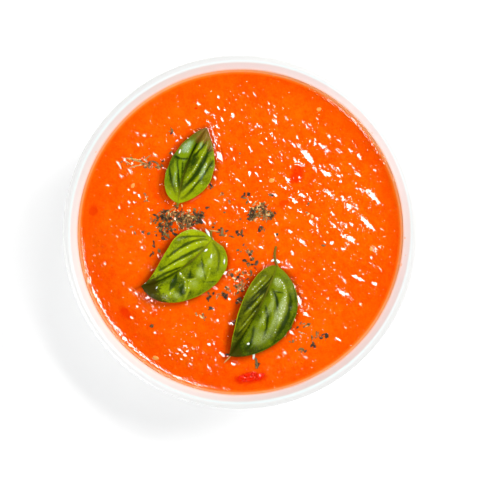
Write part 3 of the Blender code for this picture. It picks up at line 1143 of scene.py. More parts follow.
def tomato_soup(settings):
    """Glossy purée with fine grit and single specks, but smooth on the flat places."""
    finish = Finish("tomato_soup")
    finish.set(
        Base_Color=soup_colour(finish, settings),
        Roughness=settings.roughness,
        Specular_IOR_Level=0.5,
        Subsurface_Weight=settings.scatter,
        Subsurface_Radius=(1.0, 0.22, 0.04),
        Subsurface_Scale=settings.scatter_depth,
    )
    height = finish.noise(finish.place, 0.0011, 0.0) * settings.grit
    for size, rise in ((0.0024, settings.speck_height), (0.0014, settings.speck_height * 0.6)):
        speck = finish.grains(finish.place, size)
        height = finish.smooth(speck, 0.28, 0.03) * finish.chosen(speck, 0.45, 0.55) * rise + height
    finish.bump(height * (1.0 - finish.attribute("flat") * 0.92), 1.0)
    return finish.material


def sunken_mask(finish, parts):
    """Where tomato lies under the surface, as blurred uneven ovals."""
    wobble = (finish.noise(finish.place, 0.003, 3.0) - 0.5) * 1.1
    total = 0.0
    for x, y, length, width, turn, strength in TOMATO_BITS:
        turn = math.radians(turn)
        dx, dy = parts.out("X") - x, parts.out("Y") - y
        along = (dx * math.cos(turn) + dy * math.sin(turn)) / length
        across = (dy * math.cos(turn) - dx * math.sin(turn)) / width
        spread = (along**2.0 + across**2.0) ** 0.5 + wobble
        total = finish.smooth(spread, 1.45, 0.6) * strength + total
    return total


# ------------------------------------------------------------------ scattered things


class Patch(NamedTuple):
    """Where herbs fell: middle, spread along and across, turn in degrees and how many of each kind."""

    x: float
    y: float
    along: float
    across: float
    turn: float
    dark: int
    olive: int
    tan: int
    cream: int


PATCHES = (
    Patch(-0.0425, 0.0295, 0.0042, 0.0013, -5, 2, 5, 9, 4),
    Patch(-0.0345, 0.0275, 0.0010, 0.0018, 0, 1, 3, 1, 0),
    Patch(-0.0325, 0.0045, 0.0024, 0.0024, 30, 17, 18, 20, 13),
    Patch(-0.0270, 0.0064, 0.0028, 0.0020, 0, 15, 18, 24, 16),
    Patch(-0.0222, 0.0050, 0.0027, 0.0017, 10, 15, 17, 24, 16),
    Patch(-0.0312, 0.0004, 0.0017, 0.0014, 0, 9, 8, 5, 2),
    Patch(-0.0178, 0.0065, 0.0014, 0.0010, 45, 10, 8, 6, 2),
    Patch(-0.0370, -0.0060, 0.0018, 0.0036, -20, 4, 2, 0, 0),
    Patch(-0.0425, -0.0005, 0.0022, 0.0006, 0, 0, 2, 2, 0),
    Patch(-0.0080, 0.0005, 0.0026, 0.0012, -20, 3, 5, 1, 1),
    Patch(0.0050, 0.0074, 0.0012, 0.0010, 0, 16, 10, 8, 5),
    Patch(0.0085, 0.0098, 0.0020, 0.0013, -10, 5, 11, 26, 20),
    Patch(0.0115, 0.0075, 0.0015, 0.0011, 0, 10, 9, 12, 8),
    Patch(0.0028, 0.0150, 0.0009, 0.0008, 0, 3, 2, 1, 0),
    Patch(0.0090, 0.0010, 0.0010, 0.0012, 0, 3, 2, 0, 0),
    Patch(0.0005, -0.0020, 0.0010, 0.0030, 0, 4, 4, 1, 0),
    Patch(0.0030, -0.0095, 0.0022, 0.0018, -40, 3, 5, 4, 2),
    Patch(0.0045, -0.0145, 0.0013, 0.0014, 0, 5, 2, 0, 0),
    Patch(-0.0010, -0.0185, 0.0026, 0.0014, 0, 3, 6, 8, 6),
    Patch(-0.0005, -0.0240, 0.0020, 0.0016, 0, 2, 5, 8, 7),
    Patch(-0.0075, -0.0255, 0.0018, 0.0014, 0, 4, 3, 4, 2),
    Patch(-0.0130, -0.0275, 0.0008, 0.0008, 0, 3, 1, 0, 0),
    Patch(-0.0005, -0.0300, 0.0008, 0.0008, 0, 3, 0, 1, 0),
    Patch(-0.0125, -0.0325, 0.0004, 0.0003, 0, 2, 0, 0, 0),
    Patch(-0.0170, -0.0360, 0.0012, 0.0008, -20, 0, 1, 5, 6),
    Patch(-0.0378, -0.0402, 0.0004, 0.0004, 0, 1, 2, 0, 0),
    Patch(0.0335, -0.0450, 0.0024, 0.0010, 0, 5, 3, 4, 1),
    Patch(0.0310, -0.0482, 0.0008, 0.0003, 0, 3, 1, 0, 0),
    Patch(0.0265, -0.0400, 0.0022, 0.0006, 0, 2, 3, 2, 1),
    Patch(0.0265, -0.0510, 0.0009, 0.0006, 0, 1, 2, 1, 0),
    Patch(0.0225, -0.0465, 0.0018, 0.0014, 0, 0, 2, 1, 0),
    Patch(-0.0040, -0.0490, 0.0007, 0.0020, 0, 3, 1, 0, 0),
    Patch(0.0072, -0.0560, 0.0003, 0.0012, 0, 2, 3, 0, 0),
    Patch(-0.0035, -0.0380, 0.0004, 0.0004, 0, 1, 1, 0, 0),
    Patch(-0.0130, 0.0195, 0.0012, 0.0010, 45, 3, 2, 1, 0),
    Patch(-0.0070, 0.0165, 0.0014, 0.0004, 0, 0, 0, 4, 1),
    Patch(-0.0140, 0.0105, 0.0005, 0.0003, 0, 2, 0, 0, 0),
    Patch(-0.0268, 0.0104, 0.0003, 0.0003, 0, 2, 0, 0, 0),
    Patch(-0.0295, 0.0430, 0.0006, 0.0006, 0, 1, 2, 1, 0),
    Patch(-0.0300, 0.0335, 0.0006, 0.0004, 0, 0, 2, 0, 0),
    Patch(-0.0405, 0.0150, 0.0006, 0.0018, 0, 0, 1, 3, 1),
    Patch(0.0130, 0.0160, 0.0005, 0.0005, 0, 1, 1, 0, 0),
    Patch(0.0290, 0.0100, 0.0004, 0.0020, 0, 0, 1, 1, 1),
    Patch(0.0350, -0.0052, 0.0002, 0.0002, 0, 0, 1, 0, 0),
    Patch(-0.0040, 0.0000, 0.0170, 0.0190, 0, 3, 6, 8, 7),
)


class Flake(NamedTuple):
    """A kind of dried herb: colours, sizes of its smallest and largest flakes, and a seed."""

    colour: tuple
    dull: tuple
    smallest: tuple
    largest: tuple
    crumple: float
    seed: int


HERB_CRUMPLE = 0.0013
FLAKES = {
    "dark": Flake(
        colour=(0.120, 0.072, 0.030),
        dull=(0.036, 0.021, 0.010),
        smallest=(0.0007, 0.0005, 0.0002),
        largest=(0.0042, 0.0022, 0.0006),
        crumple=HERB_CRUMPLE,
        seed=300,
    ),
    "olive": Flake(
        colour=(0.250, 0.170, 0.045),
        dull=(0.100, 0.060, 0.020),
        smallest=(0.0006, 0.0004, 0.0002),
        largest=(0.0040, 0.0015, 0.0005),
        crumple=HERB_CRUMPLE,
        seed=500,
    ),
    "tan": Flake(
        colour=(0.580, 0.310, 0.100),
        dull=(0.280, 0.110, 0.032),
        smallest=(0.0005, 0.0003, 0.0002),
        largest=(0.0036, 0.0011, 0.0004),
        crumple=HERB_CRUMPLE,
        seed=800,
    ),
    "cream": Flake(
        colour=(0.880, 0.680, 0.300),
        dull=(0.760, 0.440, 0.130),
        smallest=(0.0004, 0.0003, 0.0002),
        largest=(0.0028, 0.0011, 0.0004),
        crumple=HERB_CRUMPLE,
        seed=1300,
    ),
}


# Where tiny pale bubbles lie, partly painted glints on the soup: as for the herbs, with only one kind
FROTH_PAINTED_GLINTS = (
    Patch(0.0, 0.0, 0.0200, 0.0200, 0, 130, 0, 0, 0),
    Patch(-0.0300, 0.0200, 0.0120, 0.0120, 0, 30, 0, 0, 0),
    Patch(0.0300, 0.0200, 0.0110, 0.0110, 0, 20, 0, 0, 0),
    Patch(0.0350, -0.0250, 0.0110, 0.0080, 0, 20, 0, 0, 0),
    Patch(-0.0250, -0.0400, 0.0110, 0.0060, -45, 30, 0, 0, 0),
    Patch(-0.0400, 0.0300, 0.0050, 0.0030, 0, 24, 0, 0, 0),
    Patch(-0.0280, 0.0060, 0.0040, 0.0030, 0, 26, 0, 0, 0),
    Patch(0.0085, 0.0085, 0.0030, 0.0020, 0, 18, 0, 0, 0),
    Patch(0.0000, -0.0200, 0.0020, 0.0050, 0, 26, 0, 0, 0),
    Patch(0.0280, -0.0450, 0.0040, 0.0020, 0, 16, 0, 0, 0),
)
PAINTED_GLINT_BUBBLE = Flake(
    colour=(0.97, 0.66, 0.52),
    dull=(0.97, 0.40, 0.20),
    smallest=(0.00025, 0.00025, 0.0002),
    largest=(0.00075, 0.00060, 0.0003),
    crumple=0.0004,
    seed=2100,
)
CHIP_TILT = 0.8  # in radians, either way
FULL_TURN = 6.283


def scatter_rule():
    """Copies each patch's point, spreads the copies and lays a crumpled chip at each on the soup."""
    rule = Rule("Scattered Chips")
    soup = rule.amount("Soup", "NodeSocketObject")
    seed = rule.amount("Seed", "NodeSocketInt")
    smallest = rule.amount("Smallest", "NodeSocketVector")
    largest = rule.amount("Largest", "NodeSocketVector")
    crumple, tilt = rule.amount("Crumple"), rule.amount("Tilt")

    def chance(low, high, step, kind="FLOAT"):
        """A random number for each point; each step gives other ones."""
        first, out = (0, 0) if kind == "FLOAT_VECTOR" else (2, 1)
        sockets = {first: low, first + 1: high, "Seed": seed + step}
        return rule.node("FunctionNodeRandomValue", {"data_type": kind}, sockets, out)

    sockets = {"Geometry": rule.inputs.out("Geometry"), "Amount": rule.named("count")}
    copies = rule.node("GeometryNodeDuplicateElements", {"domain": "POINT"}, sockets)
    # Three even chances added together pile up in the middle, as a pinch of herbs does.
    piled = [sum(chance(-1.0, 1.0, 3 * axis + i) for i in range(3)) for axis in range(2)]
    along, across = piled[0] * rule.named("along"), piled[1] * rule.named("across")
    turn = rule.named("turn")
    cos, sin = turn.maths("COSINE", turn), turn.maths("SINE", turn)
    shift = {"X": along * cos - across * sin, "Y": along * sin + across * cos, "Z": 0.0}
    offset = rule.node("ShaderNodeCombineXYZ", {}, shift)
    spread = rule.node("GeometryNodeSetPosition", {}, {"Geometry": copies, "Offset": offset})
    target = rule.node("GeometryNodeObjectInfo", {}, {"Object": soup}).out("Geometry")
    down = {"Target Geometry": target, "Ray Direction": (0.0, 0.0, -1.0), "Ray Length": 0.05}
    hit = rule.node("GeometryNodeRaycast", {}, down)
    sockets = {"Geometry": spread, "Selection": hit, "Position": hit.out("Hit Position")}
    laid = rule.node("GeometryNodeSetPosition", {}, sockets)

    sockets = {"Vertices": 5, "Radius Top": 0.40, "Radius Bottom": 0.5, "Depth": 1.0}
    chip = rule.node("GeometryNodeMeshCone", {}, sockets)
    sockets = {"Geometry": chip, "Translation": (0.0, 0.0, -0.5)}
    centred = rule.node("GeometryNodeTransform", {}, sockets)
    finer = rule.node("GeometryNodeSubdivideMesh", {}, {"Mesh": centred, "Level": 1})
    turned = {axis: chance(-tilt, tilt, step) for axis, step in (("X", 11), ("Y", 12))}
    turned["Z"] = chance(0.0, FULL_TURN, 13)
    sockets = {
        "Points": laid,
        "Instance": finer,
        "Rotation": rule.node("ShaderNodeCombineXYZ", {}, turned),
        "Scale": chance(smallest, largest, 17, "FLOAT_VECTOR"),
    }
    placed = rule.node("GeometryNodeInstanceOnPoints", {}, sockets)
    real = rule.node("GeometryNodeRealizeInstances", {}, {"Geometry": placed})
    sockets = {"Scale": 1400.0, "Detail": 1.0}
    wild = rule.node("ShaderNodeTexNoise", {}, sockets, out=1)
    centre = rule.node("ShaderNodeVectorMath", {"operation": "SUBTRACT"}, {0: wild, 1: (0.5, 0.5, 0.5)})
    bent = rule.node("ShaderNodeVectorMath", {"operation": "SCALE"}, {0: centre, "Scale": crumple})
    rule.end(rule.node("GeometryNodeSetPosition", {}, {"Geometry": real, "Offset": bent}))
    return rule


def herb(name, flake):
    """Dry leaf, matt and mottled."""
    finish = Finish(name)
    mottle = finish.smooth(finish.noise(finish.place, 0.0013, 2.0), 0.35, 0.65)
    colour = finish.blend(mottle, rgba(flake.dull), rgba(flake.colour))
    finish.set(Base_Color=colour, Roughness=0.55, Specular_IOR_Level=0.2)
    finish.bump(finish.noise(finish.place, 0.0003, 2.0), 0.00008)
    return finish.material


def scattered_piece(name, kind, flake, patches, rule, soup):
    """One kind of flake in all its patches, as one mesh."""
    piece = new_piece(name, [(patch.x, patch.y, SOUP_TOP + 0.01) for patch in patches], [], [])
    store(piece, "count", [getattr(patch, kind) for patch in patches])
    store(piece, "along", [patch.along for patch in patches])
    store(piece, "across", [patch.across for patch in patches])
    store(piece, "turn", [math.radians(patch.turn) for patch in patches])
    rule.apply(
        piece,
        herb(name, flake),
        Soup=soup,
        Seed=flake.seed,
        Smallest=flake.smallest,
        Largest=flake.largest,
        Crumple=flake.crumple,
        Tilt=CHIP_TILT,
    )
    return piece


# Seeds: x, y and turn in degrees
SEEDS = (
    (0.0337, 0.0526, 20),
    (0.0135, 0.0222, 10),
    (0.0307, 0.0068, 100),
    (-0.0362, -0.0538, -10),
    (-0.0460, 0.0200, 60),
    (0.0560, -0.0070, 80),
)


def lump(mesh, place, half_sizes, turn, rough, seed, taper=0.0, finer=3):
    """Adds a closed, uneven lump to a bmesh."""
    start = len(mesh.verts)
    bmesh.ops.create_icosphere(mesh, subdivisions=finer, radius=1.0)
    mesh.verts.ensure_lookup_table()
    cos, sin = math.cos(math.radians(turn)), math.sin(math.radians(turn))
    for vertex in mesh.verts[start:]:
        direction = vertex.co.normalized()
        swell = 1 + rough * noise.noise(direction * 1.3 + Vector((seed * 5.1, 0, 0)))
        swell += rough * 0.5 * noise.noise(direction * 3.1 + Vector((0, seed * 3.7, 0)))
        x, y, z = (c * size * swell for c, size in zip(direction, half_sizes))
        y *= 1 - taper * direction.x
        vertex.co = Vector((place[0] + x * cos - y * sin, place[1] + x * sin + y * cos, place[2] + z))


def lumps_piece(name, build, finish):
    """A piece of the lumps that build adds to a bmesh."""
    mesh = bmesh.new()
    build(mesh)
    piece = new_piece(name, [], [], [])
    mesh.to_mesh(piece.data)
    mesh.free()
    piece.data.shade_smooth()
    piece.data.materials.append(finish.material)
    return piece


# Sticks of dried stalk: x, y, length, width, turn in degrees and how dark
STICKS = (
    (-0.0460, 0.0313, 0.0068, 0.00055, -8, 0.1),
    (-0.0425, 0.0300, 0.0085, 0.00050, -16, 0.3),
    (-0.0448, 0.0283, 0.0058, 0.00050, 14, 0.2),
    (-0.0400, 0.0318, 0.0048, 0.00050, 38, 0.5),
    (-0.0480, 0.0297, 0.0040, 0.00045, -35, 0.2),
    (-0.0388, 0.0290, 0.0036, 0.00060, 70, 0.8),
    (-0.0365, 0.0300, 0.0030, 0.00070, -20, 0.9),
    (-0.0112, 0.0006, 0.0050, 0.00045, -8, 0.2),
    (-0.0078, 0.0003, 0.0034, 0.00110, 82, 0.8),
    (-0.0300, 0.0095, 0.0046, 0.00050, 30, 0.6),
    (-0.0335, 0.0075, 0.0040, 0.00050, -40, 0.7),
    (-0.0225, 0.0075, 0.0050, 0.00045, 15, 0.5),
    (-0.0180, 0.0085, 0.0036, 0.00045, 62, 0.7),
    (0.0062, 0.0125, 0.0038, 0.00050, 45, 0.4),
    (0.0110, 0.0062, 0.0035, 0.00050, -35, 0.6),
    (-0.0052, -0.0540, 0.0056, 0.00050, 46, 0.3),
    (0.0070, -0.0560, 0.0046, 0.00110, -80, 0.9),
    (0.0262, -0.0430, 0.0036, 0.00040, -15, 0.4),
    (0.0040, -0.0085, 0.0036, 0.00045, -45, 0.4),
    (-0.0040, -0.0160, 0.0034, 0.00045, 20, 0.3),
    (0.0015, -0.0225, 0.0030, 0.00045, 65, 0.5),
)


def sticks_piece(height):
    """Sticks of stalk, straw-coloured to nearly black."""
    finish = Finish("herb_stalk")
    mottle = finish.noise(finish.place, 0.001, 2.0)
    pale = finish.blend(mottle, rgba((0.62, 0.29, 0.05)), rgba((0.95, 0.62, 0.18)))
    shaded = finish.blend(finish.attribute("dark"), pale, rgba((0.075, 0.055, 0.016)))
    finish.set(Base_Color=shaded, Roughness=0.55)

    def build(mesh):
        shade = mesh.verts.layers.float.new("dark")
        for number, (x, y, length, width, turn, dark) in enumerate(STICKS):
            start = len(mesh.verts)
            half_sizes = (length / 2, width / 2, width * 0.35)
            lump(mesh, (x, y, height(x, y) + width * 0.25), half_sizes, turn, 0.35, number, 0.3, finer=2)
            for vertex in mesh.verts[start:]:
                vertex[shade] = dark

    return lumps_piece("herbs_stalks", build, finish)


# Drops and films of water on the leaves: x, y, length, width and turn in degrees
DROPS = (
    (-0.0131, -0.0016, 0.0068, 0.0013, -58),
    (0.0158, -0.0124, 0.0030, 0.0013, -32),
    (0.0140, -0.0120, 0.0020, 0.0010, 25),
    (-0.0147, -0.0077, 0.0017, 0.0008, 42),
    (-0.0124, -0.0103, 0.0020, 0.0006, 84),
    (-0.0069, -0.0126, 0.0020, 0.0006, 88),
    (-0.0254, -0.0177, 0.0013, 0.0005, -48),
    (-0.0357, -0.0237, 0.0012, 0.0005, 60),
    (0.0170, -0.0204, 0.0008, 0.0004, -55),
    (0.0178, -0.0215, 0.0009, 0.0004, -55),
    (0.0185, -0.0228, 0.0007, 0.0004, -55),
    (0.0034, -0.0476, 0.0013, 0.0010, 30),
    (0.0057, -0.0531, 0.0026, 0.0010, 86),
    (-0.0272, 0.0392, 0.0012, 0.0006, 40),
    (-0.0258, 0.0345, 0.0020, 0.0008, 70),
    (-0.0112, 0.0372, 0.0014, 0.0006, -75),
)


DROP_HALF_HEIGHT = 0.0003
DROP_LIFT = 0.0001


def drops_piece(height):
    """Flat drops that lean towards the light, pale as a painted glint."""
    finish = Finish("dew")
    # Painted glint: the drops are pale rather than clear.
    finish.set(Base_Color=(0.78, 0.84, 0.72, 1.0), Roughness=0.12, Specular_IOR_Level=0.6)
    azimuth = math.radians(KEY_AZIMUTH)
    sideways = Vector((-math.sin(azimuth), math.cos(azimuth), 0.0))
    lean = Matrix.Rotation(math.radians(KEY_FROM_ZENITH / 2), 3, sideways)

    def build(mesh):
        for number, (x, y, length, width, turn) in enumerate(DROPS):
            start = len(mesh.verts)
            lump(mesh, (0, 0, 0), (length / 2, width / 2, 1.0), turn, 0.25, number)
            middle = Vector((x, y, height(x, y) + DROP_LIFT))
            for vertex in mesh.verts[start:]:
                # Broad flat top and bottom, with a round edge between them
                up = max(-1.0, min(1.0, vertex.co.z))
                flat = math.copysign(math.sqrt(1 - (1 - up * up) ** 3), up) * DROP_HALF_HEIGHT
                vertex.co = lean @ Vector((vertex.co.x, vertex.co.y, flat)) + middle

    return lumps_piece("dew_drops", build, finish)


# Bits that show more than this break the surface. Each is made of lumps: along, across, size
BREAKS_SURFACE = 0.8
BIT_LUMPS = ((0.0, 0.0, 0.62), (-0.55, 0.15, 0.45), (0.52, -0.10, 0.50), (0.15, 0.45, 0.35))
BIT_HALF_HEIGHT = 0.0007
BIT_SUNK = 0.0004


def tomato_piece(height):
    """Bits of tomato that break the surface."""
    finish = Finish("tomato_bit")
    tone = finish.noise(finish.place, 0.0022, 2.0)
    finish.set(
        Base_Color=finish.blend(tone, rgba((0.95, 0.006, 0.0003)), rgba((0.99, 0.030, 0.0006))),
        Roughness=0.04,
        Specular_IOR_Level=0.35,
        Subsurface_Weight=0.4,
        Subsurface_Radius=(1.0, 0.15, 0.05),
        Subsurface_Scale=0.0015,
    )

    def build(mesh):
        for number, (x, y, length, width, turn, strength) in enumerate(TOMATO_BITS):
            if strength <= BREAKS_SURFACE:
                continue
            cos, sin = math.cos(math.radians(turn)), math.sin(math.radians(turn))
            for step, (along, across, size) in enumerate(BIT_LUMPS):
                across *= width
                along *= length
                spot = (x + along * cos - across * sin, y + along * sin + across * cos)
                half_sizes = (length * size * 0.7, width * size * 1.2, BIT_HALF_HEIGHT)
                place = (*spot, height(*spot) - BIT_SUNK)
                lump(mesh, place, half_sizes, turn + 12 * step, 0.55, number * 7 + step, finer=4)

    return lumps_piece("tomato_bits", build, finish)


def surface_finder(piece):
    """A function giving the height of a piece's top at a place."""
    points = [vertex.co for vertex in piece.data.vertices]
    tree = BVHTree.FromPolygons(points, [face.vertices for face in piece.data.polygons])

    def height(x, y):
        hit = tree.ray_cast(Vector((x, y, BOWL_TOP)), Vector((0, 0, -1)))[0]
        return hit.z if hit else SOUP_LEVEL

    return height


def seeds_piece(height):
    """Plump yellow seeds, half sunk."""
    finish = Finish("seed")
    tone = finish.noise(finish.place, 0.0012, 2.0)
    finish.set(
        Base_Color=finish.blend(tone, rgba((0.97, 0.30, 0.03)), rgba((0.95, 0.45, 0.10))),
        Roughness=0.28,
        Subsurface_Weight=0.4,
        Subsurface_Radius=(1.0, 0.5, 0.2),
        Subsurface_Scale=0.0008,
    )

    def build(mesh):
        for number, (x, y, turn) in enumerate(SEEDS):
            size = 1 + 0.25 * math.sin(number * 2.4)
            half_sizes = (0.0011 * size, 0.0008 * size, 0.00035)
            lump(mesh, (x, y, height(x, y)), half_sizes, turn, 0.10, number, taper=0.25)

    return lumps_piece("seeds", build, finish)


# ------------------------------------------------------------------ settings


def metres(name, description, default, high):
    limits = {"default": default, "min": 0.0, "max": high}
    kind = {"subtype": "DISTANCE", "unit": "LENGTH"}
    return bpy.props.FloatProperty(name=name, description=description, **limits, **kind)


def fraction(name, description, default):
    limits = {"default": default, "min": 0.0, "max": 1.0}
    return bpy.props.FloatProperty(name=name, description=description, subtype="FACTOR", **limits)


def tint(name, description, default):
    limits = {"default": default, "size": 3, "min": 0.0, "max": 1.0}
    return bpy.props.FloatVectorProperty(
        name=name, description=description, subtype="COLOR", **limits
    )


def watts(name, description, default):
    limits = {"default": default, "min": 0.0, "max": 100.0}
    return bpy.props.FloatProperty(name=name, description=description, unit="POWER", **limits)


class BowlSettings(bpy.types.PropertyGroup):
    steps: bpy.props.IntProperty(
        name="Steps", description="Faces round the bowl", default=192, min=32, max=512
    )
    waviness: metres("Waviness", "How far the rim strays from a true circle", 0.00012, 0.002)
    film_height: metres("Film Height", "How far the film of soup stands above the soup", 0.0030, 0.01)
    smear_strength: fraction("Smears", "How strongly splashes on the wall show", 0.55)
    glaze: tint("Glaze", "Colour of the glazed porcelain", (0.725, 0.725, 0.72))
    # Painted light inside: these tints cancel the soup's orange glow on the wall and even its shading.
    painted_light_inner_glaze: tint("Inner Glaze", "Colour of the glaze inside, at the soup", (0.80, 0.865, 0.865))
    painted_light_upper_glaze: tint("Upper Glaze", "Colour of the glaze inside, under the rim", (0.72, 0.80, 0.805))
    clay: tint("Bare Clay", "Colour of the unglazed foot", (0.70, 0.66, 0.58))
    film: tint("Film", "Colour of the thin soup left on the wall", (0.97, 0.50, 0.32))
    smear: tint("Smear", "Colour of splashes on the wall", (0.90, 0.45, 0.22))


class SoupSettings(bpy.types.PropertyGroup):
    swell_height: metres("Swell Height", "Height of the broad swells", 0.00085, 0.01)
    swell_size: metres("Swell Size", "Width of the broad swells", 0.0052, 0.05)
    pulp_height: metres("Pulp Height", "Height of the lumps of pulp", 0.00021, 0.005)
    pulp_size: metres("Pulp Size", "Width of the lumps of pulp", 0.0017, 0.02)
    patch_size: metres("Patch Size", "Width of the patches with much pulp", 0.0090, 0.05)
    grain_height: metres("Grain Height", "Height of single grains", 0.00010, 0.002)
    grain_size: metres("Grain Size", "Width of single grains", 0.0014, 0.01)
    edge_rise: metres("Edge Rise", "How far the soup is drawn up the wall", 0.0018, 0.01)
    edge_reach: metres("Edge Reach", "How far from the wall it begins to rise", 0.0047, 0.02)
    leaf_rise: metres("Leaf Rise", "How far the soup is drawn up to the leaves", 0.0008, 0.005)
    leaf_reach: metres("Leaf Reach", "How far from a leaf it begins to rise", 0.0020, 0.01)
    grit: metres("Grit", "Depth of the finest roughness", 0.00005, 0.001)
    speck_height: metres("Speck Height", "Height of single specks of pulp", 0.00009, 0.001)
    roughness: fraction("Roughness", "Roughness of the wet surface", 0.035)
    scatter: fraction("Scatter", "How much light passes through the soup", 0.35)
    scatter_depth: metres("Scatter Depth", "How far red light travels in the soup", 0.0018, 0.02)
    orange: tint("Orange", "Colour of the lightest soup", (0.98, 0.147, 0.0007))
    red: tint("Red", "Colour of the reddest soup", (0.95, 0.073, 0.0004))
    oil: tint("Oil", "Colour of flecks of oil and pulp", (0.98, 0.25, 0.02))
    tomato: tint("Tomato", "Colour over sunken tomato", (0.80, 0.004, 0.001))
    # Colour of the leaves' painted shadow on the soup
    painted_leaf_shadow: tint("Steeped", "Colour where basil has darkened the soup", (0.30, 0.020, 0.001))
    thin: tint("Thin Edge", "Colour where the soup is thin over porcelain", (0.99, 0.20, 0.012))
    thinnest: tint("Last Edge", "Colour of the soup's very edge", (0.98, 0.42, 0.20))


class LeafSettings(bpy.types.PropertyGroup):
    # Also the margin's pale colour, partly a painted highlight.
    pale: tint("Pale Green", "Colour of a leaf's margin and base", (0.36, 0.42, 0.002))
    rib: tint("Rib", "Colour of the midrib", (0.20, 0.19, 0.012))
    stalk: tint("Stalk", "Colour of the stalk", (0.21, 0.12, 0.012))
    # Painted highlight along a blade's ridges
    crest: tint("Crest", "Colour along a blade's ridges", (0.44, 0.52, 0.03))
    # Pale colour of the painted glints on the ridges and of the drops
    dew: tint("Dew", "Colour of specks of water on the ridges", (0.80, 0.90, 0.72))
    wetness: fraction("Wetness", "How strong the film of water on the leaves is", 0.6)


class StageSettings(bpy.types.PropertyGroup):
    camera_height: metres("Camera Height", "Height of the camera above the rim", CAMERA_HEIGHT, 5.0)
    key_power: watts("Key Power", "Power of the main lamp", 1.15)
    window_power: watts("Window Power", "Power of the broad low lamp", 5.6)
    card_power: watts("Card Power", "Power of the low pale card", 3.8)
    fill_power: watts("Fill Power", "Power of the second lamp", 0.18)
    room: bpy.props.FloatProperty(
        name="Room", description="Light from the room's walls", default=0.82, min=0.0
    )


# ------------------------------------------------------------------ operators


INSIDE_STEPS, LIP_STEPS, FOOT_STEPS = 44, 20, 5


class SOUP_OT_bowl(bpy.types.Operator):
    """Make the porcelain bowl"""

    bl_idname = "soup.bowl"
    bl_label = "Make Bowl"

    def execute(self, context):
        settings = context.scene.soup_bowl
        inside = Section.inside(INSIDE_STEPS)
        outside = Section.outside(inside)
        profile = [(radius, height) for radius, height, slope in inside]
        profile += Section.lip(LIP_STEPS) + outside + Section.foot(outside[-1], FOOT_STEPS)
        shell = turned_shell("porcelain_bowl", profile, settings.steps)
        hand_thrown(shell, settings.waviness)
        shell.data.materials.append(porcelain(settings))
        hand_over(shell, "porcelain", "bowl")
        return {"FINISHED"}


# The leaves' painted shadow on the soup reaches this far towards the lower left.
SHADE_SHIFTS = (0.0, 0.0007, 0.0014, 0.0021)
RELIEF_AMOUNTS = (
    "swell_height",
    "swell_size",
    "pulp_height",
    "pulp_size",
    "patch_size",
    "grain_height",
    "grain_size",
    "edge_rise",
    "edge_reach",
    "leaf_rise",
    "leaf_reach",
)


class SOUP_OT_soup(bpy.types.Operator):
    """Make the soup"""

    bl_idname = "soup.soup"
    bl_label = "Make Soup"

    def execute(self, context):
        settings = context.scene.soup_soup
        points, faces, top = soup_mesh()
        piece = new_piece("tomato_soup", points, [], faces)
        store(piece, "top", top)
        store(piece, "from_leaf", leaf_distances(points))
        heights, shares = facets(points, settings)
        store(piece, "facet", heights)
        store(piece, "flat", shares)
        shaded = [leaf_distances(points, shift) for shift in SHADE_SHIFTS]
        store(piece, "from_shade", np.min(shaded, axis=0))
        amounts = {name.title(): getattr(settings, name) for name in RELIEF_AMOUNTS}
        amounts["Wall_Radius"] = Section.radius_at(SOUP_TOP)
        relief_rule().apply(piece, tomato_soup(settings), **amounts)
        hand_over(piece, "soup", "soup")
        return {"FINISHED"}


def leaf_distances(points, shift=0.0):
    """How far each point, shifted up to the right, is in plan from the nearest leaf's edge."""
    edges = [place for leaf in LEAVES.values() for place in outline(leaf)]
    tree = KDTree(len(edges))
    for number, place in enumerate(edges):
        tree.insert((place.x, place.y, 0.0), number)
    tree.balance()
    return [tree.find((x + shift, y + shift * 0.55, 0.0))[2] for x, y, z in points]


class SOUP_OT_leaves(bpy.types.Operator):
    """Make the basil leaves"""

    bl_idname = "soup.leaves"
    bl_label = "Make Basil Leaves"

    def execute(self, context):
        for name, leaf in LEAVES.items():
            piece = leaf_piece("basil_" + name, leaf, context.scene.soup_leaves)
            hand_over(piece, "basil", name)
        return {"FINISHED"}


def soup_piece():
    """The soup, once it is made."""
    piece = bpy.data.objects.get("tomato_soup")
    if piece is None:
        raise RuntimeError("Make the soup first: this lies on it")
    return piece


class SOUP_OT_herbs(bpy.types.Operator):
    """Make the dried herbs"""

    bl_idname = "soup.herbs"
    bl_label = "Make Dried Herbs"

    def execute(self, context):
        rule = scatter_rule()
        for kind, flake in FLAKES.items():
            piece = scattered_piece("herbs_" + kind, kind, flake, PATCHES, rule, soup_piece())
            hand_over(piece, "basil")
        # Pale bubbles, partly painted glints.
        hand_over(scattered_piece("froth", "dark", PAINTED_GLINT_BUBBLE, FROTH_PAINTED_GLINTS, rule, soup_piece()), "soup")
        hand_over(sticks_piece(surface_finder(soup_piece())), "basil")
        return {"FINISHED"}


class SOUP_OT_seeds(bpy.types.Operator):
    """Make the tomato's seeds, its bits and the drops of water"""

    bl_idname = "soup.seeds"
    bl_label = "Make Seeds"

    def execute(self, context):
        height = surface_finder(soup_piece())
        hand_over(seeds_piece(height), "soup")
        hand_over(tomato_piece(height), "soup")
        leaves = [piece for piece in bpy.data.objects if piece.name.startswith("basil_")]
        tops = [height, *map(surface_finder, leaves)]
        hand_over(drops_piece(lambda x, y: max(top(x, y) for top in tops)), "basil")
        return {"FINISHED"}


class Lamp(NamedTuple):
    """A flat lamp: its place in degrees and metres, its size (towards the bowl, level), its colour."""

    azimuth: float
    from_zenith: float
    distance: float
    size: tuple
    colour: tuple


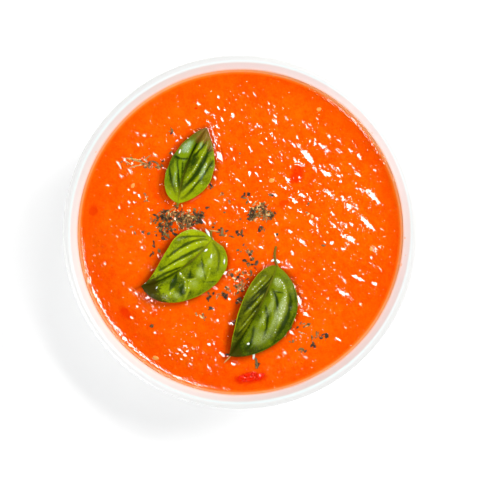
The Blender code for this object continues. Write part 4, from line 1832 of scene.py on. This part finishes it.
# The key is small and bright, for sharp glints; the window lies low, for shade and leaf sheen.
LAMPS = {
    "key": Lamp(KEY_AZIMUTH, KEY_FROM_ZENITH, KEY_DISTANCE, (0.050, 0.26), (1.0, 0.985, 0.97)),
    "window": Lamp(30.0, 47.0, 0.95, (0.36, 0.46), (1.0, 0.99, 0.97)),
    "card": Lamp(215.0, 68.0, 0.80, (0.30, 0.60), (1.0, 1.0, 1.0)),
    "fill": Lamp(222.0, 22.0, 0.64, (0.030, 0.10), (0.86, 0.93, 1.0)),
}
SENSOR_WIDTH = 36.0
FOCAL_LENGTH = 127.8
FLOOR_REACH = 3.0


class SOUP_OT_stage(bpy.types.Operator):
    """Make the floor, the lamps and the camera"""

    bl_idname = "soup.stage"
    bl_label = "Make Stage"

    def execute(self, context):
        settings = context.scene.soup_stage
        scene = context.scene
        scene.view_settings.view_transform = "Standard"
        make_floor()
        for name, lamp in LAMPS.items():
            make_lamp(name, lamp, getattr(settings, name + "_power"))
        make_room(scene, settings.room)
        camera = bpy.data.objects.new("camera", bpy.data.cameras.new("camera"))
        scene.collection.objects.link(camera)
        camera.location = (*CAMERA_PLACE, BOWL_TOP + settings.camera_height)
        camera.data.sensor_width = SENSOR_WIDTH
        camera.data.lens = FOCAL_LENGTH
        scene.camera = camera
        return {"FINISHED"}


def make_floor():
    """A pale floor, bright enough to pass for a white ground."""
    grid = bmesh.new()
    bmesh.ops.create_grid(grid, x_segments=1, y_segments=1, size=FLOOR_REACH)
    floor = new_piece("floor", [], [], [])
    grid.to_mesh(floor.data)
    grid.free()
    finish = Finish("floor")
    finish.set(
        Base_Color=(0.90, 0.90, 0.90, 1.0),
        Roughness=0.6,
        Emission_Color=(1.0, 1.0, 1.0, 1.0),
        Emission_Strength=0.12,
    )
    floor.data.materials.append(finish.material)


def make_lamp(name, lamp, power):
    """A flat lamp that faces the middle of the soup."""
    data = bpy.data.lights.new(name, "AREA")
    data.shape = "RECTANGLE"
    data.size, data.size_y = lamp.size
    data.energy = power
    data.color = lamp.colour
    light = bpy.data.objects.new(name, data)
    bpy.context.scene.collection.objects.link(light)
    back = outwards(lamp.azimuth, lamp.from_zenith)
    across = Vector((-back.y, back.x, 0.0)).normalized()
    light.matrix_world = Matrix((across.cross(back), across, back)).transposed().to_4x4()
    light.location = Vector((0.0, 0.0, SOUP_TOP)) + back * lamp.distance


def make_room(scene, strength):
    """Pale walls all round and a dark ceiling, so that nothing pale is mirrored in the soup."""
    world = bpy.data.worlds.new("room")
    world.use_nodes = True
    net = Net(world.node_tree)
    direction = net.node("ShaderNodeTexCoord").out("Generated")
    up = net.node("ShaderNodeSeparateXYZ", {}, {"Vector": direction}).out("Z")
    walls = net.smooth(up, 0.80, 0.62) * (1.5 - up)
    background = world.node_tree.nodes["Background"]
    net.feed(background.inputs["Strength"], walls * strength)
    background.inputs["Color"].default_value = (1.0, 1.0, 1.0, 1.0)
    scene.world = world


class SOUP_PT_panel(bpy.types.Panel):
    """The steps in the order in which they are made"""

    bl_idname = "SOUP_PT_panel"
    bl_label = "Bowl of Tomato Soup"
    bl_space_type = "VIEW_3D"
    bl_region_type = "UI"
    bl_category = "Soup"

    def draw(self, context):
        for operator in OPERATORS:
            self.layout.operator(operator.bl_idname)


SETTINGS = {
    "soup_bowl": BowlSettings,
    "soup_soup": SoupSettings,
    "soup_leaves": LeafSettings,
    "soup_stage": StageSettings,
}
OPERATORS = (SOUP_OT_bowl, SOUP_OT_soup, SOUP_OT_leaves, SOUP_OT_herbs, SOUP_OT_seeds, SOUP_OT_stage)


def register():
    for made in (*SETTINGS.values(), *OPERATORS, SOUP_PT_panel):
        bpy.utils.register_class(made)
    for name, made in SETTINGS.items():
        setattr(bpy.types.Scene, name, bpy.props.PointerProperty(type=made))


def unregister():
    for name in SETTINGS:
        delattr(bpy.types.Scene, name)
    for made in reversed((*SETTINGS.values(), *OPERATORS, SOUP_PT_panel)):
        bpy.utils.unregister_class(made)


def main():
    register()
    bpy.ops.soup.bowl()
    bpy.ops.soup.leaves()
    bpy.ops.soup.soup()
    bpy.ops.soup.herbs()
    bpy.ops.soup.seeds()
    bpy.ops.soup.stage()


if __name__ == "__main__":
    main()
